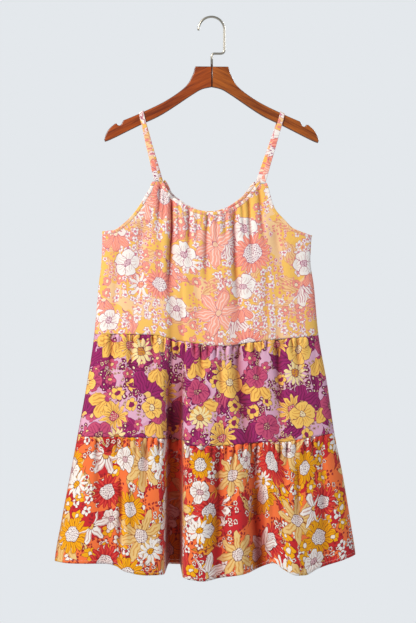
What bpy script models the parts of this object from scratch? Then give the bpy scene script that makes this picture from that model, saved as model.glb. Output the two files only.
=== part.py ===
"""A tiered strappy sundress hanging on a wooden clothes hanger.

Metres, +Z up, the front faces -Y. The origin is the inner top of the hook, where a rod carries it.
Tables are in millimetres, and a drop is a distance below the origin.
"""

from math import cos, pi, radians, sin, sqrt

import bmesh
import bpy
import numpy as np
from mathutils import Vector

MM = 0.001
GAP = 0.0003  # clearance between pieces that meet

# ---------------------------------------------------------------- driving sizes

CLOTH_WALL = 0.0012
BINDING_WIDTH, BINDING_WALL = 0.006, 0.002
STRAP_WIDTH, STRAP_WALL = 0.0095, 0.0016
SIDE_LIP = 0.0022  # each panel turns straight back over this at its side seam

PLATE_THICKNESS, PLATE_BEVEL = 0.012, 0.0018
HOOK_WIRE_RADIUS, HOOK_BEND_RADIUS, HOOK_CENTRE_X = 0.00215, 0.02415, -0.0005
HOOK_LEG_DROP, HOOK_JOG_CORNER, SHANK_CORNER = 0.0665, 0.007, 0.005
HOOK_SPLIT_DROP = 0.040  # the wire's bend and its shank are two lengths that meet face to face here
BLOCK_TOP_DROP, SHANK_END_DROP = 0.091, 0.108
BORE_ABOVE_BLOCK = 0.003

# The body of cloth: drop, left edge, right edge, depth of the front, depth of the back
BODY_LEVELS = (
    (300, -203, 186, 8, 8),
    (400, -203, 186, 12, 11),
    (450, -204.5, 184, 15, 13),
    (500, -210, 190.5, 19, 16),
    (590, -218, 199, 27, 21),
    (680, -231.5, 215, 34, 26),
    (775, -248.5, 229, 41, 30),
    (850, -262.5, 244, 46, 34),
    (930, -277.5, 257.5, 51, 37),
    (1010, -291, 269, 55, 40),
    (1050, -293, 271, 56, 41),
)

# Where the top tier meets its bindings, as x and drop. Each ends at a strap or at a side seam.
ARMHOLE_LEFT = (
    (-203, 404.3),
    (-181, 402),
    (-160, 388),
    (-143, 371),
    (-130, 353.5),
    (-120.5, 337),
    (-111.5, 322),
    (-104.7, 306),
)
NECKLINE = (
    (-100.3, 306),
    (-84.5, 330.5),
    (-67, 345),
    (-47, 357.5),
    (-29, 365),
    (-7, 368.5),
    (14, 367),
    (33.5, 361.5),
    (54.5, 350),
    (70, 336.5),
    (79, 325),
    (92.6, 309.5),
)
ARMHOLE_RIGHT = (
    (95.4, 309.5),
    (106.5, 343),
    (112.5, 359),
    (129.5, 378.5),
    (148.5, 397),
    (164, 403.5),
    (186, 411),
)
# The back's edge lies further in at the straps and a little higher at the neck: x, shift in x, rise
BACK_EDGE_SHIFT = (
    (-203, 0, 0),
    (-104.7, 8, 0),
    (-100.3, 8, 0),
    (-47, 4, 2),
    (54.5, -5, 4),
    (92.6, -8, 0),
    (95.4, -8, 0),
    (186, 0, 0),
)

UPPER_SEAM = (
    (-230, 589),
    (-121, 590),
    (-47, 604),
    (3.5, 610.5),
    (24, 611),
    (57, 606.5),
    (101, 601),
    (173, 594),
    (210, 590),
)
LOWER_SEAM = (
    (-260, 778),
    (-110, 780),
    (-90, 783),
    (-52, 786),
    (-44, 795),
    (6, 795),
    (56, 792),
    (96, 788),
    (133, 788),
    (163, 783),
    (203, 777),
    (240, 770),
)
FRONT_HEM = (
    (-300, 1007),
    (-261, 1010.5),
    (-200, 1010.5),
    (-180, 1014),
    (-164, 1024),
    (-120, 1031),
    (-92, 1031),
    (-78, 1013),
    (-60, 1013),
    (-48, 1037),
    (-21, 1043),
    (14, 1037),
    (60, 1029),
    (86, 1021),
    (112, 1011),
    (127, 1021),
    (153, 1033),
    (168, 1033),
    (193, 1022),
    (234, 1010),
    (275, 997),
)
BACK_HEM = ((-300, 1007), (-200, 1014), (-90, 1018), (20, 1016), (130, 1014), (275, 997))

# Folds along each edge: x of the middle, half-width, push inwards (a ridge is negative), 1 for a box fold
FRONT_NECK_FOLDS = (
    (-97, 5, 1.5, 0),
    (-74, 6, 3.5, 0),
    (-43, 6, 2, 0),
    (-10, 7, 2, 0),
    (41, 6, 2.5, 0),
    (69, 6, 1.5, 0),
)
FRONT_UPPER_FOLDS = ((-67, 15, 5, 1), (-186, 12, 3, 0), (46, 16, 3, 0), (122, 10, 2.5, 0))
FRONT_LOWER_FOLDS = ((-69, 18, 32, 1), (-186, 18, 5, 0), (18, 16, 5, 0), (66, 16, 7, 0), (122, 13, 4, 0))
FRONT_HEM_FOLDS = (
    (-69, 19, 56, 1),
    (-205, 24, 9, 0),
    (-140, 22, -6, 0),
    (10, 17, 10, 0),
    (50, 15, -6, 0),
    (88, 19, 30, 0),
    (150, 20, -9, 0),
    (215, 22, 9, 0),
)
BACK_UPPER_FOLDS = ((-110, 16, 3, 0), (20, 16, 3, 0), (105, 14, 3, 0))
BACK_LOWER_FOLDS = ((-150, 20, 8, 0), (-30, 22, 10, 0), (90, 20, 8, 0))
BACK_HEM_FOLDS = ((-190, 24, 14, 0), (-60, 26, 20, 0), (55, 24, 17, 0), (165, 24, 15, 0))

# A box fold's flat floor, and the lip that laps over it at its right: where it is and how wide, in
# half-widths of the fold, and how far it moves for each mm of depth
BOX_STEEPNESS = 6
LIP_PLACE, LIP_WIDTH, LIP_REACH = 1.25, 0.5, 0.14
BODY_SQUARENESS = 4  # how square the body's cross-section is
SEAM_FADE = 8  # how close to the side seams the folds run
LEFT_CROWDING, RIGHT_CROWDING = 0.8, 1.1  # how the columns crowd towards the side seams

# Guide lines down the cloth: panels between it and the next line, then its x at each GUIDE_DROPS
GUIDE_DROPS = (300, 600, 785, 1030)
FRONT_GUIDES = (
    (14, None),
    (1, (-104.7, -112, -122, -136)),
    (2, (-100.3, -105, -112, -118)),
    (11, (-92, -93, -94, -93)),
    (14, (-50, -47, -46, -47)),
    (1, (92.6, 99, 110, 122)),
    (13, (95.4, 104, 117, 131)),
    (0, None),
)
BACK_GUIDES = (
    (10, None),
    (1, (-96.7, -104, -116, -130)),
    (16, (-92.3, -97, -108, -120)),
    (1, (84.6, 92, 104, 118)),
    (9, (87.4, 97, 111, 127)),
    (0, None),
)

# One half of the wooden plate, as x and drop from the middle outwards and back
BLOCK_HALF_WIDTH = 30.6
PLATE_TOP = ((31.6, 93), (36, 107), (50, 129.5), (87, 156), (136, 180), (165, 192.5))
PLATE_NOTCH = ((167.2, 197), (170.5, 201.5), (174.5, 201.5), (176.5, 198.5))
PLATE_TIP = ((180, 198.5), (190, 207), (196.5, 217), (200, 228))
PLATE_BOTTOM = ((198.5, 232), (184, 226), (133, 200.5), (91, 180), (36, 143.5), (17.5, 133), (0, 129))

STRAP_OVER_X = 0.1315  # how far out each strap crosses the plate
STRAP_LEAN, STRAP_LEAN_ON_PLATE = radians(12), radians(28.5)
STRAP_ROWS = (0.0, 0.06, 0.2, 0.4, 0.6, 0.8, 0.93)  # shares of the way from a foot to the plate
STRAP_LEVEL_SHARE, STRAP_TURN_SHARE = 0.06, 0.6  # where its foot's lean is full, and where it turns
STRAP_BEND = (0, 30, 60, 90)  # degrees round the plate's edge

COLOURS = {  # linear RGB, roughness, metallic
    "wood": ((0.38, 0.095, 0.012), 0.35, 0.0),
    "hook_metal": ((0.62, 0.58, 0.52), 0.3, 1.0),
    "top_print": ((0.87, 0.52, 0.16), 0.85, 0.0),
    "middle_print": ((0.50, 0.10, 0.25), 0.85, 0.0),
    "bottom_print": ((0.86, 0.17, 0.06), 0.85, 0.0),
}


# ---------------------------------------------------------------- curves and tables


def smooth_curve(table, where, column=1):
    """A column of a table, read at one place or many along a smooth curve that never overshoots."""
    xs = np.array([row[0] for row in table], dtype=float)
    ys = np.array([row[column] for row in table], dtype=float)
    steps = np.diff(xs)
    slopes = np.diff(ys) / steps
    product = slopes[:-1] * slopes[1:]
    total = np.where(product > 0, slopes[:-1] + slopes[1:], 1.0)
    middle = np.where(product > 0, 2 * product / total, 0.0)
    tangents = np.concatenate([slopes[:1], middle, slopes[-1:]])
    where = np.clip(where, xs[0], xs[-1])
    i = np.clip(np.searchsorted(xs, where) - 1, 0, len(xs) - 2)
    t = (where - xs[i]) / steps[i]
    start = ys[i] * (1 + 2 * t) * (1 - t) ** 2 + tangents[i] * steps[i] * t * (1 - t) ** 2
    end = ys[i + 1] * (3 - 2 * t) * t**2 - tangents[i + 1] * steps[i] * (1 - t) * t**2
    return start + end


def spline(points, parts=3):
    """Points on a smooth curve through these points, with this many parts to each span."""
    p = [Vector(points[0]), *map(Vector, points), Vector(points[-1])]
    run = []
    for a, b, c, d in zip(p, p[1:], p[2:], p[3:]):
        for k in range(parts):
            t = k / parts
            curved = (2 * a - 5 * b + 4 * c - d) * t**2 + (3 * b - a - 3 * c + d) * t**3
            run.append(0.5 * (2 * b + (c - a) * t + curved))
    run.append(p[-1])
    return run


def ease(t):
    """A share from 0 to 1 that starts and ends level."""
    return t * t * (3 - 2 * t)


# ---------------------------------------------------------------- the cloth's surface


class Face:
    """The front or the back of the body of cloth, whose sections hang between its two side seams."""

    def __init__(self, side, guides):
        self.side = side
        self.sign = -1 if side == "front" else 1
        self.depth_column = 3 if side == "front" else 4
        self.guides = guides

    def edges(self, drop):
        """x of the left and right side seams at a drop."""
        return smooth_curve(BODY_LEVELS, drop, 1), smooth_curve(BODY_LEVELS, drop, 2)

    def guide_x(self, number, drop):
        """x of one guide line at a drop. The first and last are the side seams."""
        xs = self.guides[number][1]
        if xs is None:
            return self.edges(drop)[0 if number == 0 else 1]
        return smooth_curve(list(zip(GUIDE_DROPS, xs)), drop)

    def columns(self):
        """(guide, share of the way to the next guide) of each column, closer at the side seams."""
        found = []
        last = len(self.guides) - 2
        for number, (count, _) in enumerate(self.guides[:-1]):
            for k in range(count):
                share = k / count
                if number == 0:
                    share = 1 - cos(share * pi / 2) ** LEFT_CROWDING if k else 0.0
                if number == last:
                    share = sin(share * pi / 2) ** RIGHT_CROWDING
                found.append((number, share))
        found.append((last, 1.0))
        return found

    def column_x(self, column, drop):
        """x of a column at a drop."""
        number, share = column
        here, after = self.guide_x(number, drop), self.guide_x(number + 1, drop)
        return here + (after - here) * share

    def across(self, x, drop):
        """0 in the middle of the body and 1 at its side seams."""
        left, right = self.edges(drop)
        return min(1.0, abs(2 * x - left - right) / (right - left))

    def envelope(self, x, drop):
        """How far the smooth body stands from the plane of the side seams."""
        depth = smooth_curve(BODY_LEVELS, drop, self.depth_column)
        lip = SIDE_LIP / MM
        return lip + (depth - lip) * sqrt(max(0.0, 1 - self.across(x, drop) ** BODY_SQUARENESS))

    def at_seam(self, x, drop):
        """1 over most of the width, falling to 0 at the side seams."""
        return 1 - self.across(x, drop) ** SEAM_FADE


def fold_push(x, folds):
    """(push inwards, shift in x) that an edge's folds give at x. A box fold's right edge laps over it."""
    push = shift = 0.0
    for middle, half, depth, boxed in folds:
        away = (x - middle) / half
        if boxed:
            push += depth / (1 + abs(away) ** BOX_STEEPNESS)
            lip = (away - LIP_PLACE) / LIP_WIDTH
            shift -= LIP_REACH * depth * np.exp(-lip * lip)
        else:
            push += depth * np.exp(-away * away)
    return push, shift


EDGE_ROUNDS = 12


class Tier:
    """One tier of one face, between two edges that are tables of x and drop."""

    def __init__(self, face, top, bottom, top_folds, bottom_folds, rows):
        self.face = face
        self.top, self.bottom = top, bottom
        self.top_folds, self.bottom_folds = top_folds, bottom_folds
        self.rows = rows

    def edge_drop(self, column, edge):
        """The drop at which a column meets an edge, found by going back and forth between the two."""
        drop = float(np.mean([row[1] for row in edge]))
        for _ in range(EDGE_ROUNDS):
            drop = float(smooth_curve(edge, self.face.column_x(column, drop)))
        return drop

    def point(self, x, drop, top_x, bottom_x, share):
        """The cloth's middle at x and a drop, as a vector in metres."""
        top_push, top_shift = fold_push(top_x, self.top_folds)
        bottom_push, bottom_shift = fold_push(bottom_x, self.bottom_folds)
        turn = ease(share)
        inside = self.face.at_seam(x, drop)
        push = (top_push * (1 - turn) + bottom_push * turn) * inside
        shift = (top_shift * (1 - turn) + bottom_shift * turn) * inside
        depth = self.face.envelope(x, drop) - push
        return Vector((x + shift, self.face.sign * depth, -drop)) * MM

    def grid(self):
        """Rows of points from the top edge to the bottom one, each clear of its seam by half a gap."""
        columns = self.face.columns()
        tops = [self.edge_drop(column, self.top) + GAP / MM / 2 for column in columns]
        bottoms = [self.edge_drop(column, self.bottom) - GAP / MM / 2 for column in columns]
        rows = []
        for r in range(self.rows + 1):
            share = r / self.rows
            row = []
            for column, top, bottom in zip(columns, tops, bottoms):
                drop = top + (bottom - top) * share
                x = self.face.column_x(column, drop)
                ends = self.face.column_x(column, top), self.face.column_x(column, bottom)
                row.append(self.point(x, drop, *ends, share))
            seam_y = self.face.sign * GAP / 2
            first, last = row[0].copy(), row[-1].copy()
            first.y = last.y = seam_y
            rows.append([first, *row, last])
        return rows


def shifted_edge(edge):
    """A front edge as the back has it, further in at the straps and higher at the neck."""
    moved = []
    for x, drop in edge:
        shift = float(np.interp(x, [r[0] for r in BACK_EDGE_SHIFT], [r[1] for r in BACK_EDGE_SHIFT]))
        rise = float(np.interp(x, [r[0] for r in BACK_EDGE_SHIFT], [r[2] for r in BACK_EDGE_SHIFT]))
        moved.append((x + shift, drop - rise))
    return tuple(moved)


# ---------------------------------------------------------------- objects


def material(name):
    """The Principled material of this name from COLOURS."""
    found = bpy.data.materials.get(name)
    if found:
        return found
    colour, roughness, metallic = COLOURS[name]
    made = bpy.data.materials.new(name)
    made.use_nodes = True
    shader = made.node_tree.nodes["Principled BSDF"]
    shader.inputs["Base Color"].default_value = (*colour, 1)
    shader.inputs["Roughness"].default_value = roughness
    shader.inputs["Metallic"].default_value = metallic
    return made


def add_object(name, data, finish, collection):
    """Puts a mesh or curve in a collection under this name."""
    data.materials.append(material(finish))
    thing = bpy.data.objects.new(name, data)
    collection.objects.link(thing)
    return thing


def solidify(thing, wall):
    """Gives an open surface its wall, half to each side."""
    modifier = thing.modifiers.new("wall", "SOLIDIFY")
    modifier.thickness = wall
    modifier.offset = 0


def surface(name, rows, wall, finish, collection):
    """An open surface through rows of points, with a wall of this thickness."""
    mesh = bpy.data.meshes.new(name)
    bm = bmesh.new()
    grid = [[bm.verts.new(p) for p in row] for row in rows]
    for upper, lower in zip(grid, grid[1:]):
        for a, b, c, d in zip(upper, lower, lower[1:], upper[1:]):
            bm.faces.new((a, b, c, d))
    bmesh.ops.recalc_face_normals(bm, faces=bm.faces)
    bm.to_mesh(mesh)
    bm.free()
    mesh.shade_smooth()
    thing = add_object(name, mesh, finish, collection)
    solidify(thing, wall)
    return thing


def binding_rows(face_rows, outwards):
    """The two edges of a binding: points along the cloth's edge and the same ones moved out."""
    inner, outer = [], []
    for point, away in zip(face_rows, outwards):
        inner.append(point + away * GAP)
        outer.append(point + away * (GAP + BINDING_WIDTH))
    return [outer, inner]


def edge_directions(points, start_level, end_level):
    """For each point along an edge, the way out of the cloth in its plane.

    An end at a strap is cut level, so it goes sideways, and an end at a side seam goes straight up.
    """
    ways = []
    for i, point in enumerate(points):
        before, after = points[max(0, i - 1)], points[min(len(points) - 1, i + 1)]
        along = Vector((after.x - before.x, 0, after.z - before.z))
        up = Vector((-along.z, 0, along.x)).normalized()
        if up.z < 0:
            up.negate()
        ways.append(up)
    if start_level:
        ways[0] = Vector((ways[0].x / abs(ways[0].x), 0, 0))
    if end_level:
        ways[-1] = Vector((ways[-1].x / abs(ways[-1].x), 0, 0))
    return ways


def on_face(tier, row):
    """A binding's edge laid back on the cloth's own surface."""
    laid = []
    for point in row:
        x, drop = point.x / MM, -point.z / MM
        flat = tier.point(x, drop, x, x, 0.0)
        laid.append(Vector((point.x, flat.y, point.z)))
    return laid


def guide_columns(face):
    """Where each inner guide line is in a row of points, whose first point is the side seam's own."""
    return [i + 1 for i, column in enumerate(face.columns()) if column[1] == 0.0]


def neck_binding(name, face, tier, top_row, collection):
    """The binding along one face's neckline, from strap to strap."""
    guides = guide_columns(face)
    points = top_row[guides[2] : guides[-2] + 1]
    rows = binding_rows(points, edge_directions(points, True, True))
    laid = [on_face(tier, row) for row in rows]
    return surface(name, laid, BINDING_WALL, "top_print", collection)


def armhole_run(face, tier, top_row, left):
    """One face's half of an armhole binding, from the strap to the side seam."""
    guides = guide_columns(face)
    if left:
        points = top_row[1 : guides[1] + 1][::-1]
    else:
        points = top_row[guides[-1] : -1]
    ways = edge_directions(points, True, False)
    ways[-1] = Vector((0, 0, 1))
    return [on_face(tier, row) for row in binding_rows(points, ways)]


def armhole_binding(name, left, fronts, backs, collection):
    """One binding round an armhole: down the front, round the side seam and up the back."""
    front = armhole_run(*fronts, left)
    back = armhole_run(*backs, left)
    rows = [f + b[::-1] for f, b in zip(front, back)]
    return surface(name, rows, BINDING_WALL, "top_print", collection)


def plate_top_drop(x):
    """Drop of the plate's top edge at a distance from its middle."""
    run = spline([Vector((a, b, 0)) for a, b in PLATE_TOP], 4)
    return float(np.interp(x / MM, [p.x for p in run], [p.y for p in run])) * MM


def strap(name, hand, front_foot, back_foot, collection):
    """A strap from a front foot, over the plate, down to a back foot. hand is -1 on the left."""
    over_y = PLATE_THICKNESS / 2 + GAP + STRAP_WALL / 2
    crown = -plate_top_drop(STRAP_OVER_X) + 2 * GAP + STRAP_WALL / 2
    shoulder = PLATE_BEVEL + STRAP_WALL / 2 + GAP
    x = hand * STRAP_OVER_X
    run = []
    for foot, sign in ((front_foot, -1), (back_foot, 1)):
        side = []
        high = Vector((x, sign * over_y, crown - shoulder))
        for share in STRAP_ROWS:
            turned = ease(max(0.0, share - STRAP_TURN_SHARE) / (1 - STRAP_TURN_SHARE))
            lean = STRAP_LEAN * min(1.0, share / STRAP_LEVEL_SHARE)
            lean += (STRAP_LEAN_ON_PLATE - STRAP_LEAN) * turned
            side.append((foot.lerp(high, share), lean))
        for turn in STRAP_BEND:
            a = radians(turn)
            place = high + Vector((0, -sign * shoulder * (1 - cos(a)), shoulder * sin(a)))
            side.append((place, STRAP_LEAN_ON_PLATE))
        run.append(side)
    path = run[0] + [(Vector((x, 0, crown)), STRAP_LEAN_ON_PLATE)] + run[1][::-1]
    rows = []
    for across in (-0.5, 0.5):
        rows.append([p + across * STRAP_WIDTH * Vector((cos(a), 0, -hand * sin(a))) for p, a in path])
    return surface(name, rows, STRAP_WALL, "top_print", collection)


def mesh_of_curve(curve_object):
    """Turns a curve object into a mesh object with its caps welded."""
    graph = bpy.context.evaluated_depsgraph_get()
    mesh = bpy.data.meshes.new_from_object(curve_object.evaluated_get(graph))
    bm = bmesh.new()
    bm.from_mesh(mesh)
    bmesh.ops.remove_doubles(bm, verts=bm.verts, dist=0.00001)
    bm.to_mesh(mesh)
    bm.free()
    name, place = curve_object.name, curve_object.matrix_world.copy()
    collection = curve_object.users_collection[0]
    bpy.data.objects.remove(curve_object)
    thing = bpy.data.objects.new(name, mesh)
    collection.objects.link(thing)
    thing.matrix_world = place
    return thing


def poly_curve(name, points, cyclic, finish, collection):
    """A POLY spline through these points, as an object."""
    curve = bpy.data.curves.new(name, "CURVE")
    line = curve.splines.new("POLY")
    line.points.add(len(points) - 1)
    for target, point in zip(line.points, points):
        target.co = (*point, 1)
    line.use_cyclic_u = cyclic
    return add_object(name, curve, finish, collection)


def hanger_half(name, hand, cutter, collection):
    """One half of the wooden plate, a bevelled outline that meets the other half in the middle."""
    run = [(GAP / MM / 2, BLOCK_TOP_DROP / MM), (BLOCK_HALF_WIDTH, BLOCK_TOP_DROP / MM)]
    for table, parts in ((PLATE_TOP, 4), (PLATE_NOTCH, 2), (PLATE_TIP, 3), (PLATE_BOTTOM, 3)):
        run += [(p.x, p.y) for p in spline([Vector((*row, 0)) for row in table], parts)]
    run[-1] = (GAP / MM / 2, run[-1][1])
    outline = [Vector((hand * x * MM, -drop * MM, 0)) for x, drop in run]
    half = poly_curve(name, outline, True, "wood", collection)
    half.data.dimensions = "2D"
    half.data.fill_mode = "BOTH"
    half.data.extrude = PLATE_THICKNESS / 2 - PLATE_BEVEL
    half.data.bevel_depth = PLATE_BEVEL
    half.data.bevel_resolution = 1
    half.data.offset = -PLATE_BEVEL
    half.rotation_euler.x = pi / 2
    bpy.context.view_layer.update()
    half = mesh_of_curve(half)
    bore = half.modifiers.new("shank bore", "BOOLEAN")
    bore.object = cutter
    half.data.shade_smooth()
    half.data.set_sharp_from_angle(angle=radians(40))
    return half


def shank_cutter(collection):
    """The cylinder that bores the shank's hole down between the two halves."""
    top, bottom = -BLOCK_TOP_DROP + BORE_ABOVE_BLOCK, -SHANK_END_DROP - GAP
    bpy.ops.mesh.primitive_cylinder_add(
        vertices=16, radius=HOOK_WIRE_RADIUS + GAP, depth=top - bottom, location=(0, 0, (top + bottom) / 2)
    )
    cutter = bpy.context.object
    cutter.name = "shank_cutter"
    for old in list(cutter.users_collection):
        old.objects.unlink(cutter)
    collection.objects.link(cutter)
    cutter.hide_render = True
    cutter.display_type = "WIRE"
    return cutter


def rounded_corner(corner, before, after, radius, parts=4):
    """Points of an arc that rounds a square corner between two directions."""
    start, end = corner - before * radius, corner + after * radius
    centre = corner - before * radius + after * radius
    arc = []
    for k in range(parts + 1):
        a = k / parts * pi / 2
        arc.append(centre + (start - centre) * cos(a) + (end - centre) * sin(a))
    return arc


def wire(name, run, collection):
    """A length of the hook's wire along these points."""
    length = poly_curve(name, run, False, "hook_metal", collection)
    length.data.dimensions = "3D"
    length.data.bevel_depth = HOOK_WIRE_RADIUS
    length.data.bevel_resolution = 2
    length.data.use_fill_caps = True
    length.data.twist_mode = "Z_UP"
    made = mesh_of_curve(length)
    made.data.shade_smooth()


def hook_bend(name, collection, bend_parts=16):
    """The half circle that hangs on the rod, and the top of its straight leg."""
    centre = Vector((HOOK_CENTRE_X, 0, HOOK_WIRE_RADIUS - HOOK_BEND_RADIUS))
    run = []
    for k in range(bend_parts + 1):
        a = pi - pi * k / bend_parts
        run.append(centre + HOOK_BEND_RADIUS * Vector((cos(a), 0, sin(a))))
    run.append(Vector((HOOK_CENTRE_X + HOOK_BEND_RADIUS, 0, -HOOK_SPLIT_DROP + GAP / 2)))
    wire(name, run, collection)


def hook_shank(name, collection):
    """The rest of the leg, the jog to the middle, and the shank down into the plate."""
    leg_x = HOOK_CENTRE_X + HOOK_BEND_RADIUS
    down, inwards = Vector((0, 0, -1)), Vector((-1, 0, 0))
    run = [Vector((leg_x, 0, -HOOK_SPLIT_DROP - GAP / 2))]
    run += rounded_corner(Vector((leg_x, 0, -HOOK_LEG_DROP)), down, inwards, HOOK_JOG_CORNER)
    run += rounded_corner(Vector((0, 0, -HOOK_LEG_DROP)), inwards, down, SHANK_CORNER)
    run.append(Vector((0, 0, -SHANK_END_DROP)))
    wire(name, run, collection)


# ---------------------------------------------------------------- assembly


def build_hanger(parts, cutters):
    """The two plate halves and the hook's two lengths of wire."""
    cutter = shank_cutter(cutters)
    hanger_half("hanger_left", -1, cutter, parts)
    hanger_half("hanger_right", 1, cutter, parts)
    hook_bend("hanger_hook", parts)
    hook_shank("hanger_shank", parts)


def build_face(face, edges, folds, rows, parts):
    """The three tiers of one face. Returns the top tier and its first row of points."""
    names = ("bodice", "middle_tier", "bottom_tier")
    finishes = ("top_print", "middle_print", "bottom_print")
    tiers = []
    for k, (name, finish) in enumerate(zip(names, finishes)):
        tier = Tier(face, edges[k], edges[k + 1], folds[k], folds[k + 1], rows[k])
        grid = tier.grid()
        surface(f"{name}_{face.side}", grid, CLOTH_WALL, finish, parts)
        tiers.append((tier, grid[0]))
    return tiers[0]


def build_dress(parts):
    """The three tiers of each face, then the bindings and straps made from the top tier's edge."""
    front_edge = ARMHOLE_LEFT + NECKLINE + ARMHOLE_RIGHT
    front, back = Face("front", FRONT_GUIDES), Face("back", BACK_GUIDES)
    front_edges = (front_edge, UPPER_SEAM, LOWER_SEAM, FRONT_HEM)
    back_edges = (shifted_edge(front_edge), UPPER_SEAM, LOWER_SEAM, BACK_HEM)
    front_folds = (FRONT_NECK_FOLDS, FRONT_UPPER_FOLDS, FRONT_LOWER_FOLDS, FRONT_HEM_FOLDS)
    back_folds = ((), BACK_UPPER_FOLDS, BACK_LOWER_FOLDS, BACK_HEM_FOLDS)
    tops = {
        "front": (front, *build_face(front, front_edges, front_folds, (7, 5, 6), parts)),
        "back": (back, *build_face(back, back_edges, back_folds, (6, 4, 5), parts)),
    }
    for side, (face, tier, row) in tops.items():
        neck_binding(f"neck_binding_{side}", face, tier, row, parts)
    for hand, side in ((-1, "left"), (1, "right")):
        armhole_binding(f"armhole_binding_{side}", hand < 0, tops["front"], tops["back"], parts)
        feet = []
        for face, tier, row in tops.values():
            guides = guide_columns(face)
            pair = (guides[1], guides[2]) if hand < 0 else (guides[-2], guides[-1])
            foot = (row[pair[0]] + row[pair[1]]) / 2
            foot.z += 2 * GAP
            feet.append(foot)
        strap(f"strap_{side}", hand, *feet, parts)


def main():
    """Builds the dress and its hanger in a collection of their own."""
    for old in list(bpy.data.objects):
        bpy.data.objects.remove(old)
    parts = bpy.data.collections.new("sundress_on_hanger")
    cutters = bpy.data.collections.new("cutters")
    for collection in (parts, cutters):
        bpy.context.scene.collection.children.link(collection)
    build_hanger(parts, cutters)
    build_dress(parts)


main()
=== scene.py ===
"""The looks of a tiered strappy sundress on its wooden hanger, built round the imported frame.

Metres, +Z up, the front faces -Y. The origin is the inner top of the hook. Tables are in millimetres, and a
drop is a distance below the origin. Print sizes are in millimetres of flat cloth.
"""

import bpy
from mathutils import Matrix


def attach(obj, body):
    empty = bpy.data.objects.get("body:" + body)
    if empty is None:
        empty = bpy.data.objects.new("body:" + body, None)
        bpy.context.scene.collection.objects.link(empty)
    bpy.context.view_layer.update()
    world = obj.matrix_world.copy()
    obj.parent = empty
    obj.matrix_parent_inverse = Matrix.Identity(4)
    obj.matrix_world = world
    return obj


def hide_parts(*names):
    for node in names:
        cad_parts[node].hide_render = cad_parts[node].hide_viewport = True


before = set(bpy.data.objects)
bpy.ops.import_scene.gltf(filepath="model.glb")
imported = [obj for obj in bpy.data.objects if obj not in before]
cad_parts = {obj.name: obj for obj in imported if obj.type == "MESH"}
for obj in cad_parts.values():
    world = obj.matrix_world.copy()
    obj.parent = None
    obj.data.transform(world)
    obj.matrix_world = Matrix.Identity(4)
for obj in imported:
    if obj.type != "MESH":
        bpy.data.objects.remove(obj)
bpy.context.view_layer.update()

import logging
from dataclasses import dataclass, field
from enum import Enum
from math import cos, pi, radians, sin, sqrt, tau
from typing import Iterable, Sequence

import bmesh
import bpy
import numpy as np
from mathutils import Vector

LOG = logging.getLogger("sundress")
MM = 0.001
WHITE = "#FFFFFF"
BODY = "root"

Row = tuple[float, ...]
Table = Sequence[Row]


# ======================== numbers and curves


def linear(code: str) -> tuple[float, float, float, float]:
    """Turns an sRGB hex colour into Blender's linear one.

    Args:
        code: the colour as "#RRGGBB".

    Returns:
        Linear red, green and blue with an alpha of 1.
    """
    parts = [int(code[i : i + 2], 16) / 255 for i in (1, 3, 5)]
    curve = [p / 12.92 if p <= 0.04045 else ((p + 0.055) / 1.055) ** 2.4 for p in parts]
    return (curve[0], curve[1], curve[2], 1.0)


def smooth_curve(table: Table, where: np.ndarray | float, column: int = 1) -> np.ndarray:
    """Reads a table's column along a smooth curve that never overshoots its rows.

    Args:
        table: rows whose first number rises from row to row.
        where: the places to read, in the units of the first column.
        column: which number of the rows to read.

    Returns:
        The column's value at each place.
    """
    xs = np.array([row[0] for row in table], dtype=float)
    ys = np.array([row[column] for row in table], dtype=float)
    steps = np.diff(xs)
    slopes = np.diff(ys) / steps
    product = slopes[:-1] * slopes[1:]
    total = np.where(product > 0, slopes[:-1] + slopes[1:], 1.0)
    middle = np.where(product > 0, 2 * product / total, 0.0)
    tangents = np.concatenate([slopes[:1], middle, slopes[-1:]])
    where = np.clip(where, xs[0], xs[-1])
    i = np.clip(np.searchsorted(xs, where) - 1, 0, len(xs) - 2)
    t = (where - xs[i]) / steps[i]
    start = ys[i] * (1 + 2 * t) * (1 - t) ** 2 + tangents[i] * steps[i] * t * (1 - t) ** 2
    end = ys[i + 1] * (3 - 2 * t) * t**2 - tangents[i + 1] * steps[i] * (1 - t) * t**2
    return start + end


def spline(points: Sequence[Vector], parts: int) -> list[Vector]:
    """Draws a smooth curve through points.

    Args:
        points: the points to pass through.
        parts: how many parts each span gets.

    Returns:
        The points of the curve, both ends with them.
    """
    p = [points[0], *points, points[-1]]
    run = []
    for a, b, c, d in zip(p, p[1:], p[2:], p[3:]):
        for k in range(parts):
            t = k / parts
            bend = (2 * a - 5 * b + 4 * c - d) * t**2 + (3 * b - a - 3 * c + d) * t**3
            run.append(0.5 * (2 * b + (c - a) * t + bend))
    run.append(p[-1])
    return run


NO_LENGTH = 1e-12  # divides a vector that has no length


def unit(vectors: np.ndarray) -> np.ndarray:
    """Returns the vectors with a length of 1, and those that had none unchanged."""
    return vectors / np.maximum(np.linalg.norm(vectors, axis=-1, keepdims=True), NO_LENGTH)


def ease(t: np.ndarray | float) -> np.ndarray | float:
    """Returns a share from 0 to 1 that starts and ends level."""
    t = np.clip(t, 0.0, 1.0)
    return t * t * (3 - 2 * t)


# ======================== node trees


def feed(node: bpy.types.Node, inputs: dict) -> None:
    """Gives a node's inputs their values.

    Args:
        node: the node.
        inputs: a number, colour or socket for each named or numbered input.
    """
    for key, value in inputs.items():
        if isinstance(value, bpy.types.NodeSocket):
            node.id_data.links.new(value, node.inputs[key])
        else:
            node.inputs[key].default_value = value


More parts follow.
